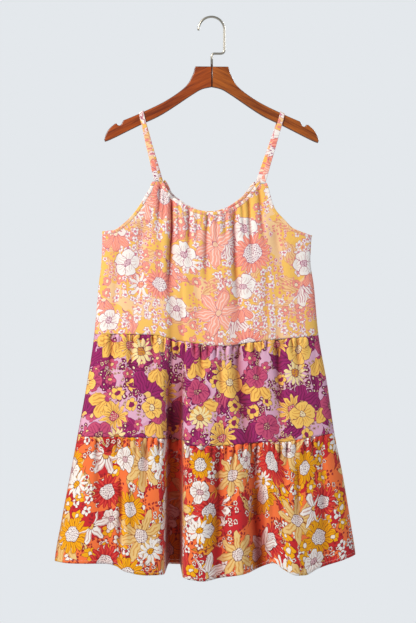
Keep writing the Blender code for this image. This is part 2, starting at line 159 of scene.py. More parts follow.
def add(
    tree: bpy.types.NodeTree,
    kind: str,
    inputs: dict | None = None,
    output: int | str = 0,
    **settings: object,
) -> bpy.types.NodeSocket:
    """Adds a node with its settings and links.

    Args:
        tree: the node tree that gets it.
        kind: the node's type name.
        inputs: a number, colour or socket for each named or numbered input.
        output: which output to hand back.
        **settings: properties of the node.

    Returns:
        The chosen output, or the node's first input where it has no output.
    """
    made = tree.nodes.new(kind)
    for name, value in settings.items():
        setattr(made, name, value)
    feed(made, inputs or {})
    return made.outputs[output] if len(made.outputs) else made.inputs[0]


COLOUR_BLENDS = {"MIX": "MIX", "TINT": "MULTIPLY"}  # how each colour step blends the second colour in
MIX_SHARE, MIX_BELOW, MIX_ABOVE, MIXED = 0, 6, 7, 2  # a colour mix's inputs, and its output


def work_out(tree: bpy.types.NodeTree, known: dict, steps: Iterable[tuple]) -> dict:
    """Adds a node for each step of a table: a blend of colours, a range laid on another, or a sum.

    Args:
        tree: the tree that gets the nodes.
        known: sockets and numbers by name, to which each result is added.
        steps: rows of result, operation and operands. An operand is a name, a value or a hex colour.

    Returns:
        The same dictionary, with the results in it.
    """
    for result, operation, *operands in steps:
        values = [known.get(o, o) if isinstance(o, str) else o for o in operands]
        values = [linear(v) if isinstance(v, str) else v for v in values]
        if operation in COLOUR_BLENDS:
            inputs = dict(zip((MIX_SHARE, MIX_BELOW, MIX_ABOVE), values))
            blend = COLOUR_BLENDS[operation]
            known[result] = add(tree, "ShaderNodeMix", inputs, MIXED, data_type="RGBA", blend_type=blend)
        elif operation == "RANGE":
            known[result] = add(tree, "ShaderNodeMapRange", dict(enumerate(values)))
        else:
            known[result] = add(tree, "ShaderNodeMath", dict(enumerate(values)), operation=operation)
    return known


def new_group(name: str, labels: Sequence[str]) -> tuple[bpy.types.NodeTree, dict, bpy.types.Node]:
    """Makes a shader group that gives a colour.

    Args:
        name: the group's name.
        labels: its inputs. One called Cloth is a place, one with the word colour a colour, another a number.

    Returns:
        The tree, its inputs by name, and its output node.
    """
    tree = bpy.data.node_groups.new(name, "ShaderNodeTree")
    for label in labels:
        kind = "Vector" if label == "Cloth" else "Color" if "olour" in label else "Float"
        tree.interface.new_socket(label, in_out="INPUT", socket_type="NodeSocket" + kind)
    tree.interface.new_socket("Colour", in_out="OUTPUT", socket_type="NodeSocketColor")
    source = tree.nodes.new("NodeGroupInput")
    sink = tree.nodes.new("NodeGroupOutput")
    return tree, {label: source.outputs[label] for label in labels}, sink


# ======================== the printed motifs

VARY = 0.3  # how much the motifs of one kind differ in size
VEIN_SHARE = 0.34  # how much of the space between two veins a vein takes
CROWD_SCALE = 0.37  # how soon crowded and sparse places of a print change, per cell
WHOLE_FAN = -2.0  # a cosine that every petal's turn is past, so that all of them show
LEAF_POINT = 3.0  # how pointed a leaf's ends are
RIB_SHARE = 0.5  # half a leaf's midrib, as a share of its outline
CLEFT_SHARE = 0.45  # half the line between two petals, as a share of the outline

# Where a motif lies: its cell of the print, a random place and turn inside that cell, and its own axes.
PLACE_STEPS = (
    ("from_x", "SUBTRACT", "x", "At X"),
    ("cells_x", "DIVIDE", "from_x", "Cell X"),
    ("column", "ROUND", "cells_x"),
    ("slid", "MULTIPLY", "column", "Stagger"),
    ("from_y", "SUBTRACT", "y", "At Y"),
    ("unslid", "SUBTRACT", "from_y", "slid"),
    ("cells_y", "DIVIDE", "unslid", "Cell Y"),
    ("row", "ROUND", "cells_y"),
    ("back_x", "MULTIPLY", "column", "Cell X"),
    ("back_y", "MULTIPLY", "row", "Cell Y"),
    ("in_x", "SUBTRACT", "from_x", "back_x"),
    ("in_y", "SUBTRACT", "unslid", "back_y"),
)
DRIFT_STEPS = (
    ("chance_x", "SUBTRACT", "r", 0.5),
    ("chance_y", "SUBTRACT", "g", 0.5),
    ("drift_x", "MULTIPLY", "chance_x", "Jitter"),
    ("drift_y", "MULTIPLY", "chance_y", "Jitter"),
    ("u", "SUBTRACT", "in_x", "drift_x"),
    ("v", "SUBTRACT", "in_y", "drift_y"),
    ("spun", "MULTIPLY_ADD", "b", "Spin", "Turn"),
    ("sized", "SUBTRACT", "draw", 0.5),
    ("grown", "MULTIPLY_ADD", "sized", VARY, 1.0),
    ("reach", "MULTIPLY", "Radius", "grown"),
    ("present", "GREATER_THAN", "crowd", "Sparse"),
)


def drawn_steps(beside: str, far: str, petal: str) -> tuple:
    """Lists the steps that outline, colour and vein a motif.

    Args:
        beside: the result that says how far a place is from the middle of its petal.
        far: the one that says how far out it is.
        petal: the one that says whether it is coloured.

    Returns:
        The rows, which end with the colour.
    """
    return (
        ("ripple", "PINGPONG", beside, "Vein pitch"),
        ("vein_width", "MULTIPLY", "Vein pitch", VEIN_SHARE),
        ("vein_line", "LESS_THAN", "ripple", "vein_width"),
        ("short", "LESS_THAN", far, "Vein reach"),
        ("veined", "MULTIPLY", "vein_line", "short"),
        ("vein", "MULTIPLY", "veined", petal),
        ("outlined", "MIX", "whole", "Colour below", "Line colour"),
        ("coloured", "MIX", petal, "outlined", "Petal colour"),
        ("colour", "MIX", "vein", "coloured", "Vein colour"),
    )


BLOOM_STEPS = (
    ("uu", "MULTIPLY", "u", "u"),
    ("square", "MULTIPLY_ADD", "v", "v", "uu"),
    ("length", "SQRT", "square"),
    ("angle", "ARCTAN2", "v", "u"),
    ("turned", "SUBTRACT", "angle", "spun"),
    ("far", "DIVIDE", "length", "reach"),
    ("cell", "MULTIPLY", "turned", "Petals per radian"),
    ("off", "PINGPONG", "cell", 0.5),
    ("aside", "MULTIPLY", "off", 2.0),
    ("bent", "POWER", "aside", "Point"),
    ("lost", "MULTIPLY", "bent", "Notch"),
    ("edge", "SUBTRACT", 1.0, "lost"),
    ("room", "SUBTRACT", "edge", "far"),
    ("room_mm", "MULTIPLY", "room", "reach"),
    ("lean", "COSINE", "turned"),
    ("in_fan", "GREATER_THAN", "lean", "Fan"),
    ("shown", "MULTIPLY", "in_fan", "present"),
    ("inside", "GREATER_THAN", "room_mm", "Line"),
    ("within", "GREATER_THAN", "room_mm", 0.0),
    ("whole", "MULTIPLY", "within", "shown"),
    ("from_notch", "SUBTRACT", 0.5, "off"),
    ("notch_arc", "MULTIPLY", "from_notch", "length"),
    ("notch_gap", "DIVIDE", "notch_arc", "Petals per radian"),
    ("half_line", "MULTIPLY", "Line", CLEFT_SHARE),
    ("clear", "GREATER_THAN", "notch_gap", "half_line"),
    ("filled", "MULTIPLY", "inside", "clear"),
    ("petal", "MULTIPLY", "filled", "shown"),
    ("axis_arc", "MULTIPLY", "off", "length"),
    ("axis_gap", "DIVIDE", "axis_arc", "Petals per radian"),
    *drawn_steps("axis_gap", "far", "petal"),
    ("heart_mm", "MULTIPLY_ADD", "Heart", "reach", "Line"),
    ("heart_whole", "LESS_THAN", "length", "heart_mm"),
    ("heart_ring", "MULTIPLY", "heart_whole", "whole"),
    ("heart_in", "LESS_THAN", "far", "Heart"),
    ("heart", "MULTIPLY", "heart_in", "whole"),
    ("dots", "MULTIPLY", "heart", "Dots"),
    ("ringed", "MIX", "heart_ring", "colour", "Line colour"),
    ("hearted", "MIX", "heart", "ringed", "Heart colour"),
    ("colour", "MIX", "dots", "hearted", "Dot colour"),
)
# A leaf lies along its own axis from -1 to 1, bent sideways, with a midrib.
LEAF_STEPS = (
    ("cosine", "COSINE", "spun"),
    ("sine", "SINE", "spun"),
    ("uc", "MULTIPLY", "u", "cosine"),
    ("along_mm", "MULTIPLY_ADD", "v", "sine", "uc"),
    ("us", "MULTIPLY", "u", "sine"),
    ("vc", "MULTIPLY", "v", "cosine"),
    ("straight", "SUBTRACT", "vc", "us"),
    ("along", "DIVIDE", "along_mm", "reach"),
    ("square", "MULTIPLY", "along", "along"),
    ("bow", "MULTIPLY", "square", "Bend"),
    ("across", "SUBTRACT", "straight", "bow"),
    ("left", "SUBTRACT", 1.0, "square"),
    ("open", "MAXIMUM", "left", 0.0),
    ("slim", "POWER", "open", "Point"),
    ("half", "MULTIPLY", "slim", "Width"),
    ("away", "ABSOLUTE", "across"),
    ("room", "SUBTRACT", "half", "away"),
    ("covered", "GREATER_THAN", "room", 0.0),
    ("whole", "MULTIPLY", "covered", "present"),
    ("lined", "GREATER_THAN", "room", "Line"),
    ("inside", "MULTIPLY", "lined", "present"),
    ("rib_width", "MULTIPLY", "Line", RIB_SHARE),
    ("off_rib", "GREATER_THAN", "away", "rib_width"),
    ("leaf", "MULTIPLY", "inside", "off_rib"),
    *drawn_steps("away", "square", "leaf"),
)

# What a motif's group is told, in the order of the fields of a Motif
PLACE_LABELS = ("Cell X", "Cell Y", "At X", "At Y", "Stagger", "Jitter", "Sparse")
LINE_LABELS = ("Line colour", "Line")
VEIN_LABELS = ("Vein colour", "Vein pitch", "Vein reach")
TURN_LABELS = ("Turn", "Spin")
BLOOM_LABELS = ("Radius", "Petals per radian", "Point", "Notch", "Fan")
LEAF_LABELS = ("Radius", "Bend", "Width", "Point")
HEART_LABELS = ("Heart", "Heart colour", "Dot colour")
SHARED_LABELS = ("Cloth", "Colour below", "Petal colour", "Seed") + PLACE_LABELS + LINE_LABELS + VEIN_LABELS
SHARED_LABELS += TURN_LABELS


class Kind(Enum):
    """The two drawn shapes of the prints."""

    BLOOM = "bloom"
    LEAF = "leaf"


def place_in_cell(tree: bpy.types.NodeTree, known: dict) -> dict:
    """Adds the nodes that find a motif's own axes, with a place and turn drawn for its cell.

    Args:
        tree: the motif's group.
        known: the group's inputs by name.

    Returns:
        The sockets by name, with u, v and spun added.
    """
    split = add(tree, "ShaderNodeSeparateXYZ", {0: known["Cloth"]}).node
    known["x"], known["y"] = split.outputs[0], split.outputs[1]
    work_out(tree, known, PLACE_STEPS)
    cell = add(tree, "ShaderNodeCombineXYZ", {0: known["column"], 1: known["row"], 2: known["Seed"]})
    chance = add(tree, "ShaderNodeTexWhiteNoise", {0: cell}, "Color", noise_dimensions="3D")
    draws = add(tree, "ShaderNodeSeparateColor", {0: chance}).node
    known["r"], known["g"], known["b"] = draws.outputs[:3]
    known["draw"] = chance.node.outputs["Value"]
    known["crowd"] = add(tree, "ShaderNodeTexNoise", {0: cell, "Scale": CROWD_SCALE, "Detail": 0.0})
    return work_out(tree, known, DRIFT_STEPS)


def motif_group(kind: Kind) -> bpy.types.NodeTree:
    """Makes the shader group that draws one kind of motif over the colour below it.

    Args:
        kind: a flower or a leaf.

    Returns:
        The group, whose output is the colour.
    """
    flower = kind is Kind.BLOOM
    own = BLOOM_LABELS + HEART_LABELS + ("Dots",) if flower else LEAF_LABELS
    tree, known, sink = new_group(f"printed_{kind.value}", SHARED_LABELS + own)
    place_in_cell(tree, known)
    work_out(tree, known, BLOOM_STEPS if flower else LEAF_STEPS)
    feed(sink, {0: known["colour"]})
    return tree


@dataclass(frozen=True)
class Motif:
    """One kind of flower or leaf of a print, and how it is scattered. Sizes are in mm of flat cloth."""

    kind: Kind
    place: Row  # cell's width and height, first cell's x and y, stagger, jitter, how crowded a place it needs
    shape: Row  # a flower's radius, petals, point, notch and any fan, or a leaf's radius, bend and width
    petal: str
    line: tuple[str, float]  # outline's colour and width
    vein: tuple = ()  # colour, pitch and how far out they reach
    heart: tuple = ()  # share of the radius, colour, and colour of its dots
    turn: Row = (0.0, tau)  # least turn, and how much is drawn on top

    def values(self, seed: float) -> dict:
        """Lists the inputs of this motif's group, apart from the cloth and the colour below.

        Args:
            seed: what sets its draws apart from the other motifs' draws.

        Returns:
            A number or a linear colour by name.
        """
        vein = self.vein or (self.petal, 1.7, 0.0)
        values = dict(zip(PLACE_LABELS + LINE_LABELS, self.place + self.line))
        values |= dict(zip(VEIN_LABELS + TURN_LABELS, vein + self.turn))
        if self.kind is Kind.LEAF:
            values |= dict(zip(LEAF_LABELS, (*self.shape, LEAF_POINT)))
        else:
            radius, petals, point, notch, *fan = self.shape
            share, colour, *dot = self.heart
            values |= dict(zip(BLOOM_LABELS, (radius, petals / tau, point, notch, *(fan or [WHOLE_FAN]))))
            values |= dict(zip(HEART_LABELS, (share, colour, *(dot or [colour]))))
        values |= {"Petal colour": self.petal, "Seed": seed}
        return {label: linear(v) if isinstance(v, str) else v for label, v in values.items()}


# ---- three prints, each a ground and its motifs from the lowest to the top one


@dataclass(frozen=True)
class Print:
    """A floral print: the ground's colours, how large its patches are, and its motifs in layers."""

    name: str
    ground: str
    patch: str
    patch_size: float
    patch_share: float
    motifs: tuple[Motif, ...]
    offset: tuple[float, float] = (0.0, 0.0)
    wobble: tuple[float, float] = (15.0, 9.0)  # how far apart and how strong the hand-drawn wobbles are


BLOOM, LEAF = Kind.BLOOM, Kind.LEAF

PLUM_LINE = "#B9687F"
TOP_PRINT = Print(
    "top_print",
    ground="#F5C363",
    patch="#F6CD98",
    patch_size=52.0,
    patch_share=0.38,
    motifs=(
        Motif(LEAF, (70, 58, 0, 0, 21, 20, 0.46), (40, 9, 15), "#F3C68E", ("#DE9A72", 0.9),
              ("#E2A376", 2.4, 0.7)),
        Motif(LEAF, (84, 76, 30, 20, 30, 26, 0.5), (38, -10, 11), "#F39A84", (PLUM_LINE, 0.9),
              ("#F8B5A4", 2.0, 0.7)),
        Motif(BLOOM, (7.5, 6.5, 0, 0, 3, 3, 0.53), (2.1, 5, 3.0, 0.3), "#EA8F88", ("#EA8F88", 0.2),
              heart=(0.0, "#FFFFFF")),
        Motif(BLOOM, (10, 9, 4, 3, 4, 3, 0.55), (3.6, 5, 3.0, 0.3), "#F6E2D8", ("#DA8F92", 0.5),
              heart=(0.34, "#D67A8C")),
        Motif(BLOOM, (20, 18, 0, 0, 8, 6, 0.54), (7.8, 5, 2.2, 0.45), "#F5ECE7", ("#CB8494", 0.8),
              heart=(0.24, "#E59A98")),
        Motif(BLOOM, (25, 22, 9, 12, 9, 8, 0.57), (8.6, 5, 3.0, 0.3), "#F59A88", (PLUM_LINE, 0.6),
              heart=(0.3, "#F8E3C0")),
        Motif(BLOOM, (15, 14, 5, 2, 6, 4, 0.56), (6.4, 5, 2.0, 0.4), "#F6EEEA", ("#C47F96", 0.7),
              heart=(0.24, "#DE8494")),
        Motif(BLOOM, (148, 128, 120, 22, 64, 26, 0.5), (42, 6, 1.25, 0.62), "#F9A893",
              (PLUM_LINE, 0.9), ("#FBD2C4", 2.6, 0.85), (0.12, "#F4C8A8")),
        Motif(BLOOM, (128, 132, 44, 96, 52, 30, 0.44), (40, 9, 2.0, 0.4, 0.35), "#F5EAE3", (PLUM_LINE, 0.9),
              ("#CF8F98", 2.6, 0.8), (0.12, "#F3A58F")),
        Motif(BLOOM, (138, 126, 52, 88, 58, 40, 0.0), (32, 9, 2.2, 0.42, 0.45), "#F3947F", (PLUM_LINE, 0.9),
              ("#F8B0A0", 1.7, 0.9), (0.16, "#F6DCC0"), (-1.9, 0.7)),
        Motif(BLOOM, (108, 122, 20, 70, 47, 38, 0.38), (26, 10, 1.3, 0.78), "#F5EEE9",
              ("#B0607E", 0.9), heart=(0.2, "#EE8F78", "#F6D9B8")),
        Motif(BLOOM, (122, 110, 80, 44, 39, 40, 0.34), (23, 5, 3.6, 0.2), "#F5F0EB", ("#B0607E", 0.9),
              ("#E3CFCB", 2.6, 0.7), (0.24, "#E3C2CA", "#8E4266")),
        Motif(BLOOM, (150, 172, 28, 30, 74, 36, 0.0), (34, 18, 1.5, 0.3), "#F48E7A", (PLUM_LINE, 0.9),
              ("#F8B6A4", 2.0, 0.95), (0.44, "#F4EBE8", "#9C5078")),
    ),
    offset=(36, 20),
)

DARK_PLUM = "#6E1A48"
MIDDLE_PRINT = Print(
    "middle_print",
    ground="#E2B0CA",
    patch="#D99DBC",
    patch_size=40.0,
    patch_share=0.3,
    motifs=(
        Motif(LEAF, (66, 60, 0, 0, 26, 22, 0.53), (42, 12, 17), "#9C2468", ("#641644", 0.9),
              ("#6E1548", 2.6, 0.7)),
        Motif(LEAF, (84, 70, 40, 36, 34, 24, 0.5), (38, -12, 14), "#96205F", ("#5E1440", 0.9),
              ("#B02E74", 2.4, 0.7)),
        Motif(LEAF, (78, 88, 10, 16, 30, 28, 0.52), (34, 8, 13), "#C85274", (DARK_PLUM, 0.9),
              ("#A02A58", 2.6, 0.7)),
        Motif(BLOOM, (8, 7, 0, 0, 3, 2.5, 0.55), (2.9, 5, 3.0, 0.3), "#F3DCA8", ("#7A1E50", 0.5),
              heart=(0.3, "#8E1F58")),
        Motif(BLOOM, (11, 10, 5, 3, 4, 4, 0.53), (4.8, 5, 3.0, 0.3), "#7E1A54", ("#5C123C", 0.4),
              heart=(0.3, "#F3E2B8")),
        Motif(BLOOM, (32, 28, 8, 14, 13, 9, 0.54), (11.5, 5, 2.2, 0.4), "#CC5478", (DARK_PLUM, 0.7),
              heart=(0.25, "#F3D08A")),
        Motif(BLOOM, (34, 30, 19, 7, 14, 9, 0.58), (12.5, 5, 3.0, 0.28), "#F8C862", (DARK_PLUM, 0.7),
              heart=(0.34, "#8E1F58")),
        Motif(BLOOM, (118, 100, 20, 72, 55, 30, 0.3), (48, 7, 2.2, 0.4, 0.05), "#9C2468", ("#641644", 0.9),
              ("#7A1A52", 3.2, 0.9), (0.14, "#F0C070"), (0.8, 1.6)),
        Motif(BLOOM, (118, 104, 64, 20, 43, 34, 0.25), (38, 7, 2.4, 0.34, 0.15), "#F8C460",
              ("#8E4A3C", 0.9), ("#DA9A4A", 3.4, 0.8), (0.15, "#B03A70"), (-2.2, 1.2)),
        Motif(BLOOM, (128, 136, 86, 84, 50, 44, 0.0), (29, 12, 1.4, 0.55), "#F8C864",
              (DARK_PLUM, 0.9), ("#DA9A4A", 3.0, 0.7), (0.26, "#C63E66", "#F3E2B8")),
        Motif(BLOOM, (124, 100, 52, 62, 37, 42, 0.0), (25, 5, 3.6, 0.22), "#C64E74", (DARK_PLUM, 0.9),
              ("#A83862", 3.0, 0.8), (0.26, "#7A1A50", "#F3CFA0")),
        Motif(BLOOM, (186, 164, 112, 40, 61, 46, 0.4), (24, 12, 1.5, 0.6), "#F4DEA2",
              (DARK_PLUM, 0.8), heart=(0.28, "#D9962F", "#8E2264")),
        Motif(BLOOM, (150, 132, 30, 18, 66, 44, 0.0), (25, 5, 3.4, 0.2), "#F9CA68", (DARK_PLUM, 0.9),
              ("#E2A650", 2.8, 0.7), (0.22, "#F3E2B8", "#9A5A34")),
    ),
    offset=(12, 44),
)

MAROON = "#6E1418"
BOTTOM_PRINT = Print(
    "bottom_print",
    ground="#F6763C",
    patch="#C8242B",
    patch_size=62.0,
    patch_share=0.42,
    motifs=(
        Motif(LEAF, (80, 72, 0, 0, 27, 24, 0.47), (42, 12, 14), "#C4222C", (MAROON, 0.9),
              ("#E4553C", 2.4, 0.7)),
        Motif(LEAF, (86, 92, 36, 30, 31, 24, 0.45), (48, -13, 8), "#EAC27A", (MAROON, 0.9),
              ("#D79C50", 2.6, 0.7), turn=(1.2, 1.1)),
        Motif(LEAF, (98, 84, 66, 12, 37, 24, 0.5), (34, 8, 11), "#F09418", (MAROON, 0.9),
              ("#F4B65A", 2.2, 0.7)),
        Motif(BLOOM, (8, 7, 0, 0, 3, 3, 0.53), (2.8, 4, 3.0, 0.6), "#9A1E28", ("#9A1E28", 0.2),
              heart=(0.0, "#FFFFFF")),
        Motif(BLOOM, (12, 11, 3, 4, 5, 4, 0.55), (4.8, 5, 3.0, 0.3), "#F3E4D6", (MAROON, 0.6),
              heart=(0.34, "#C8323A")),
        Motif(BLOOM, (23, 20, 8, 3, 9, 7, 0.55), (9.5, 5, 2.0, 0.46), "#F3ECE6", (MAROON, 0.75),
              heart=(0.24, "#B8303A")),
        Motif(BLOOM, (32, 28, 12, 10, 12, 9, 0.56), (12.5, 5, 2.4, 0.36), "#F4AC08", (MAROON, 0.7),
              heart=(0.3, "#F6E9DC")),
        Motif(BLOOM, (152, 128, 76, 40, 49, 34, 0.35), (48, 8, 1.3, 0.6), "#EBC580", (MAROON, 0.9),
              ("#D79C50", 3.0, 0.75), (0.24, "#EFE2DC", "#7A3040")),
        Motif(BLOOM, (140, 122, 20, 96, 56, 32, 0.44), (48, 13, 2.0, 0.3, 0.1), "#F4EEE8", (MAROON, 1.1),
              ("#C79A92", 3.2, 0.85), (0.2, "#F4AC08", "#7A3040"), (-1.9, 0.8)),
        Motif(BLOOM, (146, 138, 24, 84, 62, 38, 0.0), (35, 16, 1.6, 0.32), "#CC262C", (MAROON, 0.9),
              ("#E4503C", 2.1, 0.95), (0.42, "#F2E9E5", "#7A5060")),
        Motif(BLOOM, (124, 130, 92, 76, 52, 40, 0.0), (32, 14, 2.0, 0.32), "#F4A800", (MAROON, 0.9),
              ("#D48A00", 2.3, 0.95), (0.42, "#F2E9E5", "#7A5060")),
        Motif(BLOOM, (128, 122, 52, 58, 40, 44, 0.36), (21, 5, 3.0, 0.28), "#F4EEE8", (MAROON, 0.9),
              ("#D9BDB4", 2.6, 0.75), (0.24, "#E0B8BC", "#5E2030")),
        Motif(BLOOM, (146, 138, 8, 20, 45, 40, 0.42), (40, 6, 1.35, 0.66, -0.35), "#F4EEE8", (MAROON, 1.0),
              ("#D0A8A0", 3.0, 0.8), (0.14, "#E8B25A")),
        Motif(BLOOM, (180, 166, 84, 4, 57, 52, 0.36), (26, 11, 1.5, 0.66), "#F4EEE8", (MAROON, 0.8),
              heart=(0.24, "#F4AC08", "#7A2A20")),
    ),
    offset=(60, 10),
)


DOT_PITCH, DOT_RADIUS = 3.2, 0.27  # how far apart a heart's dots are in mm, and their size as a share of that
SEED_STEP = 7.3  # keeps the random draws of one motif apart from those of the next


def print_group(chart: Print, motifs: dict[Kind, bpy.types.NodeTree]) -> bpy.types.NodeTree:
    """Makes the group that gives a print's colour at a place on the flat cloth.

    Args:
        chart: the print.
        motifs: the shared groups that draw each kind of motif.

    Returns:
        The group, from a place in mm to a colour.
    """
    tree, known, sink = new_group(chart.name, ("Cloth",))
    place = add(tree, "ShaderNodeVectorMath", {0: known["Cloth"], 1: (*chart.offset, 0)}, operation="ADD")
    apart, strength = chart.wobble
    drawn = {"Vector": place, "Scale": 1 / apart, "Detail": 1.0}
    wobble = add(tree, "ShaderNodeTexNoise", drawn, "Color", noise_dimensions="2D")
    pull = add(tree, "ShaderNodeVectorMath", {0: wobble, 1: (0.5, 0.5, 0.5)}, operation="SUBTRACT")
    pulled = {0: pull, 1: (strength, strength, 0), 2: place}
    place = add(tree, "ShaderNodeVectorMath", pulled, operation="MULTIPLY_ADD")
    clouds = {"Vector": place, "Scale": 1 / chart.patch_size, "Detail": 1.0}
    known["cloud"] = add(tree, "ShaderNodeTexNoise", clouds, noise_dimensions="2D")
    specks = {"Vector": place, "Scale": 1 / DOT_PITCH, "Randomness": 0.35}
    known["speck"] = add(tree, "ShaderNodeTexVoronoi", specks, "Distance", voronoi_dimensions="2D")
    steps = (
        ("patched", "GREATER_THAN", "cloud", 1 - chart.patch_share),
        ("colour", "MIX", "patched", chart.ground, chart.patch),
        ("dots", "LESS_THAN", "speck", DOT_RADIUS),
    )
    work_out(tree, known, steps)
    colour = known["colour"]
    for number, motif in enumerate(chart.motifs):
        inputs = motif.values(number * SEED_STEP + 1.0) | {"Cloth": place, "Colour below": colour}
        if motif.kind is BLOOM:
            inputs["Dots"] = known["dots"] if len(motif.heart) == len(HEART_LABELS) else 0.0
        colour = add(tree, "ShaderNodeGroup", inputs, node_tree=motifs[motif.kind])
    feed(sink, {0: colour})
    return tree


# ======================== finishes


def new_material(name: str) -> tuple[bpy.types.Material, bpy.types.NodeTree, bpy.types.Node]:
    """Makes a node material.

    Args:
        name: what the material is.

    Returns:
        The material, its tree and its Principled shader.
    """
    made = bpy.data.materials.new(name)
    made.use_nodes = True
    return made, made.node_tree, made.node_tree.nodes["Principled BSDF"]


@dataclass(frozen=True)
class PrintedViscose:
    """Plain woven viscose, screen printed and washed. Its wrong side shows the print through, paler."""

    # To the eye: matt and limp, a soft sheen at a glance along it, small crinkles and a faint thread grain.
    chart: Print
    roughness: float = 0.82
    sheen: float = 0.12
    specular: float = 0.25
    crinkle_mm: float = 7.0
    thread_mm: float = 0.9  # real threads lie 0.3 mm apart, drawn coarser so that the grain shows
    grain_shade: tuple[float, float] = (0.93, 1.07)
    reverse_fade: float = 0.42
    reverse_tint: str = "#F4E6DC"
    painted_shade_colour: str = "#B25450"  # painted shade: cloth deep in a fold is painted redder and darker

    def material(self, group: bpy.types.NodeTree, reverse: bool) -> bpy.types.Material:
        """Builds the right side's material or the wrong side's.

        Args:
            group: the print's colour group.
            reverse: True for the wrong side.

        Returns:
            The material.
        """
        side = "reverse" if reverse else "face"
        made, tree, shader = new_material(f"viscose_{self.chart.name}_{side}")
        place = add(tree, "ShaderNodeUVMap", uv_map="cloth_mm")
        grain = {"Vector": place, "Scale": 1 / self.thread_mm, "Detail": 2.0}
        crinkle = {"Vector": place, "Scale": 1 / self.crinkle_mm, "Detail": 3.0, "Distortion": 0.4}
        known = {
            "print": add(tree, "ShaderNodeGroup", {0: place}, node_tree=group),
            "grain": add(tree, "ShaderNodeTexNoise", grain, noise_dimensions="2D"),
            "crinkle": add(tree, "ShaderNodeTexNoise", crinkle, noise_dimensions="2D"),
            "shade_in_fold": add(tree, "ShaderNodeAttribute", output="Fac", attribute_name="fold_depth"),
        }
        if reverse:
            work_out(tree, known, [("print", "MIX", self.reverse_fade, "print", self.reverse_tint)])
        steps = (
            # painted shade: the print is tinted towards the fold colour as deep as each point lies in a fold
            ("shadow", "MIX", "shade_in_fold", WHITE, self.painted_shade_colour),
            ("folded", "TINT", 1.0, "print", "shadow"),
            ("shade", "RANGE", "grain", 0.0, 1.0, *self.grain_shade),
            ("colour", "TINT", 1.0, "folded", "shade"),
            ("height", "MULTIPLY_ADD", "grain", 0.12, "crinkle"),
        )
        work_out(tree, known, steps)
        relief = {"Strength": 0.22, "Distance": 1.2 * MM, "Height": known["height"]}
        finish = {
            "Base Color": known["colour"],
            "Normal": add(tree, "ShaderNodeBump", relief),
            "Roughness": self.roughness,
            "Sheen Weight": self.sheen,
            "Specular IOR Level": self.specular,
        }
        feed(shader, finish)
        return made


@dataclass(frozen=True)
class VarnishedWood:
    """Stained and varnished hardwood: long grain that follows each arm, darker along the rounded edges."""

    # To the eye: a warm red-brown with dark streaks, a soft gloss, and darker rounded edges.
    light: str = "#B5601A"
    dark: str = "#703008"
    # laid darker along the rounded edges, and as painted shade in the groove of the joint
    edge: str = "#240C04"
    left_tint: str = "#F8D6BE"  # the left half was cut from a redder board
    grain_mm: float = 2.2
    streaks_per_metre: float = 90.0
    stretch: float = 0.07  # how much the grain is drawn out along the arm
    arm_angle: float = radians(27)
    rim_darkness: Row = (0.9, 0.0, 0.35)  # how dark the colour is made at a face's rim, on the face and on the side walls
    gloss: tuple[float, float] = (0.28, 0.46)
    coat: tuple[float, float] = (0.25, 0.18)  # the varnish's weight and roughness

    def material(self, plate_half: float, bevel: float) -> bpy.types.Material:
        """Builds the material.

        Args:
            plate_half: half the plate's thickness.
            bevel: how wide the rounded edge is.

        Returns:
            The material.
        """
        made, tree, shader = new_material("varnished_hardwood")
        place = add(tree, "ShaderNodeTexCoord", output="Object")
        axes = add(tree, "ShaderNodeSeparateXYZ", {0: place}).node.outputs
        known = {"x": axes[0], "y": axes[1], "z": axes[2]}
        cosine, sine = cos(self.arm_angle), sin(self.arm_angle)
        arm_axes = (
            ("out", "ABSOLUTE", "x"),
            ("out_c", "MULTIPLY", "out", cosine),
            ("z_s", "MULTIPLY", "z", sine),
            ("along", "SUBTRACT", "out_c", "z_s"),
            ("out_s", "MULTIPLY", "out", sine),
            ("across", "MULTIPLY_ADD", "z", cosine, "out_s"),
            ("long_way", "MULTIPLY", "along", self.stretch),
        )
        work_out(tree, known, arm_axes)
        way = add(tree, "ShaderNodeCombineXYZ", {0: known["long_way"], 1: known["across"], 2: known["y"]})
        fine = {"Vector": way, "Scale": 1 / (self.grain_mm * MM), "Detail": 6.0, "Roughness": 0.6}
        broad = {"Vector": way, "Scale": self.streaks_per_metre, "Detail": 3.0, "Distortion": 0.8}
        known["fine"] = add(tree, "ShaderNodeTexNoise", fine)
        known["broad"] = add(tree, "ShaderNodeTexNoise", broad)
        rim, face, wall = self.rim_darkness
        steps = (
            ("blend", "MULTIPLY_ADD", "fine", 0.55, "broad"),
            ("share", "RANGE", "blend", 0.62, 0.94, 0.0, 1.0),
            ("stained", "MIX", "share", self.dark, self.light),
            ("left", "LESS_THAN", "x", 0.0),
            ("board", "MIX", "left", WHITE, self.left_tint),
            ("matched", "TINT", 1.0, "stained", "board"),
            ("deep", "ABSOLUTE", "y"),
            ("on_face", "RANGE", "deep", plate_half - 0.45 * bevel, plate_half - 0.01 * bevel, rim, face),
            ("on_wall", "RANGE", "deep", plate_half - 2.2 * bevel, plate_half - bevel, wall, rim),
            ("rim_dark_share", "MINIMUM", "on_face", "on_wall"),
            ("edged", "MIX", "rim_dark_share", "matched", self.edge),
            # painted shade: the groove of the joint between the two halves is painted in the edge colour
            ("joint", "RANGE", "out", 0.4 * bevel, bevel, 1.0, 0.0),
            ("colour", "MIX", "joint", "edged", self.edge),
            ("rough", "RANGE", "fine", 0.0, 1.0, *self.gloss),
        )
        work_out(tree, known, steps)
        relief = {"Strength": 0.12, "Distance": 0.4 * MM, "Height": known["fine"]}
        finish = {
            "Base Color": known["colour"],
            "Roughness": known["rough"],
            "Normal": add(tree, "ShaderNodeBump", relief),
            "Coat Weight": self.coat[0],
            "Coat Roughness": self.coat[1],
        }
        feed(shader, finish)
        return made


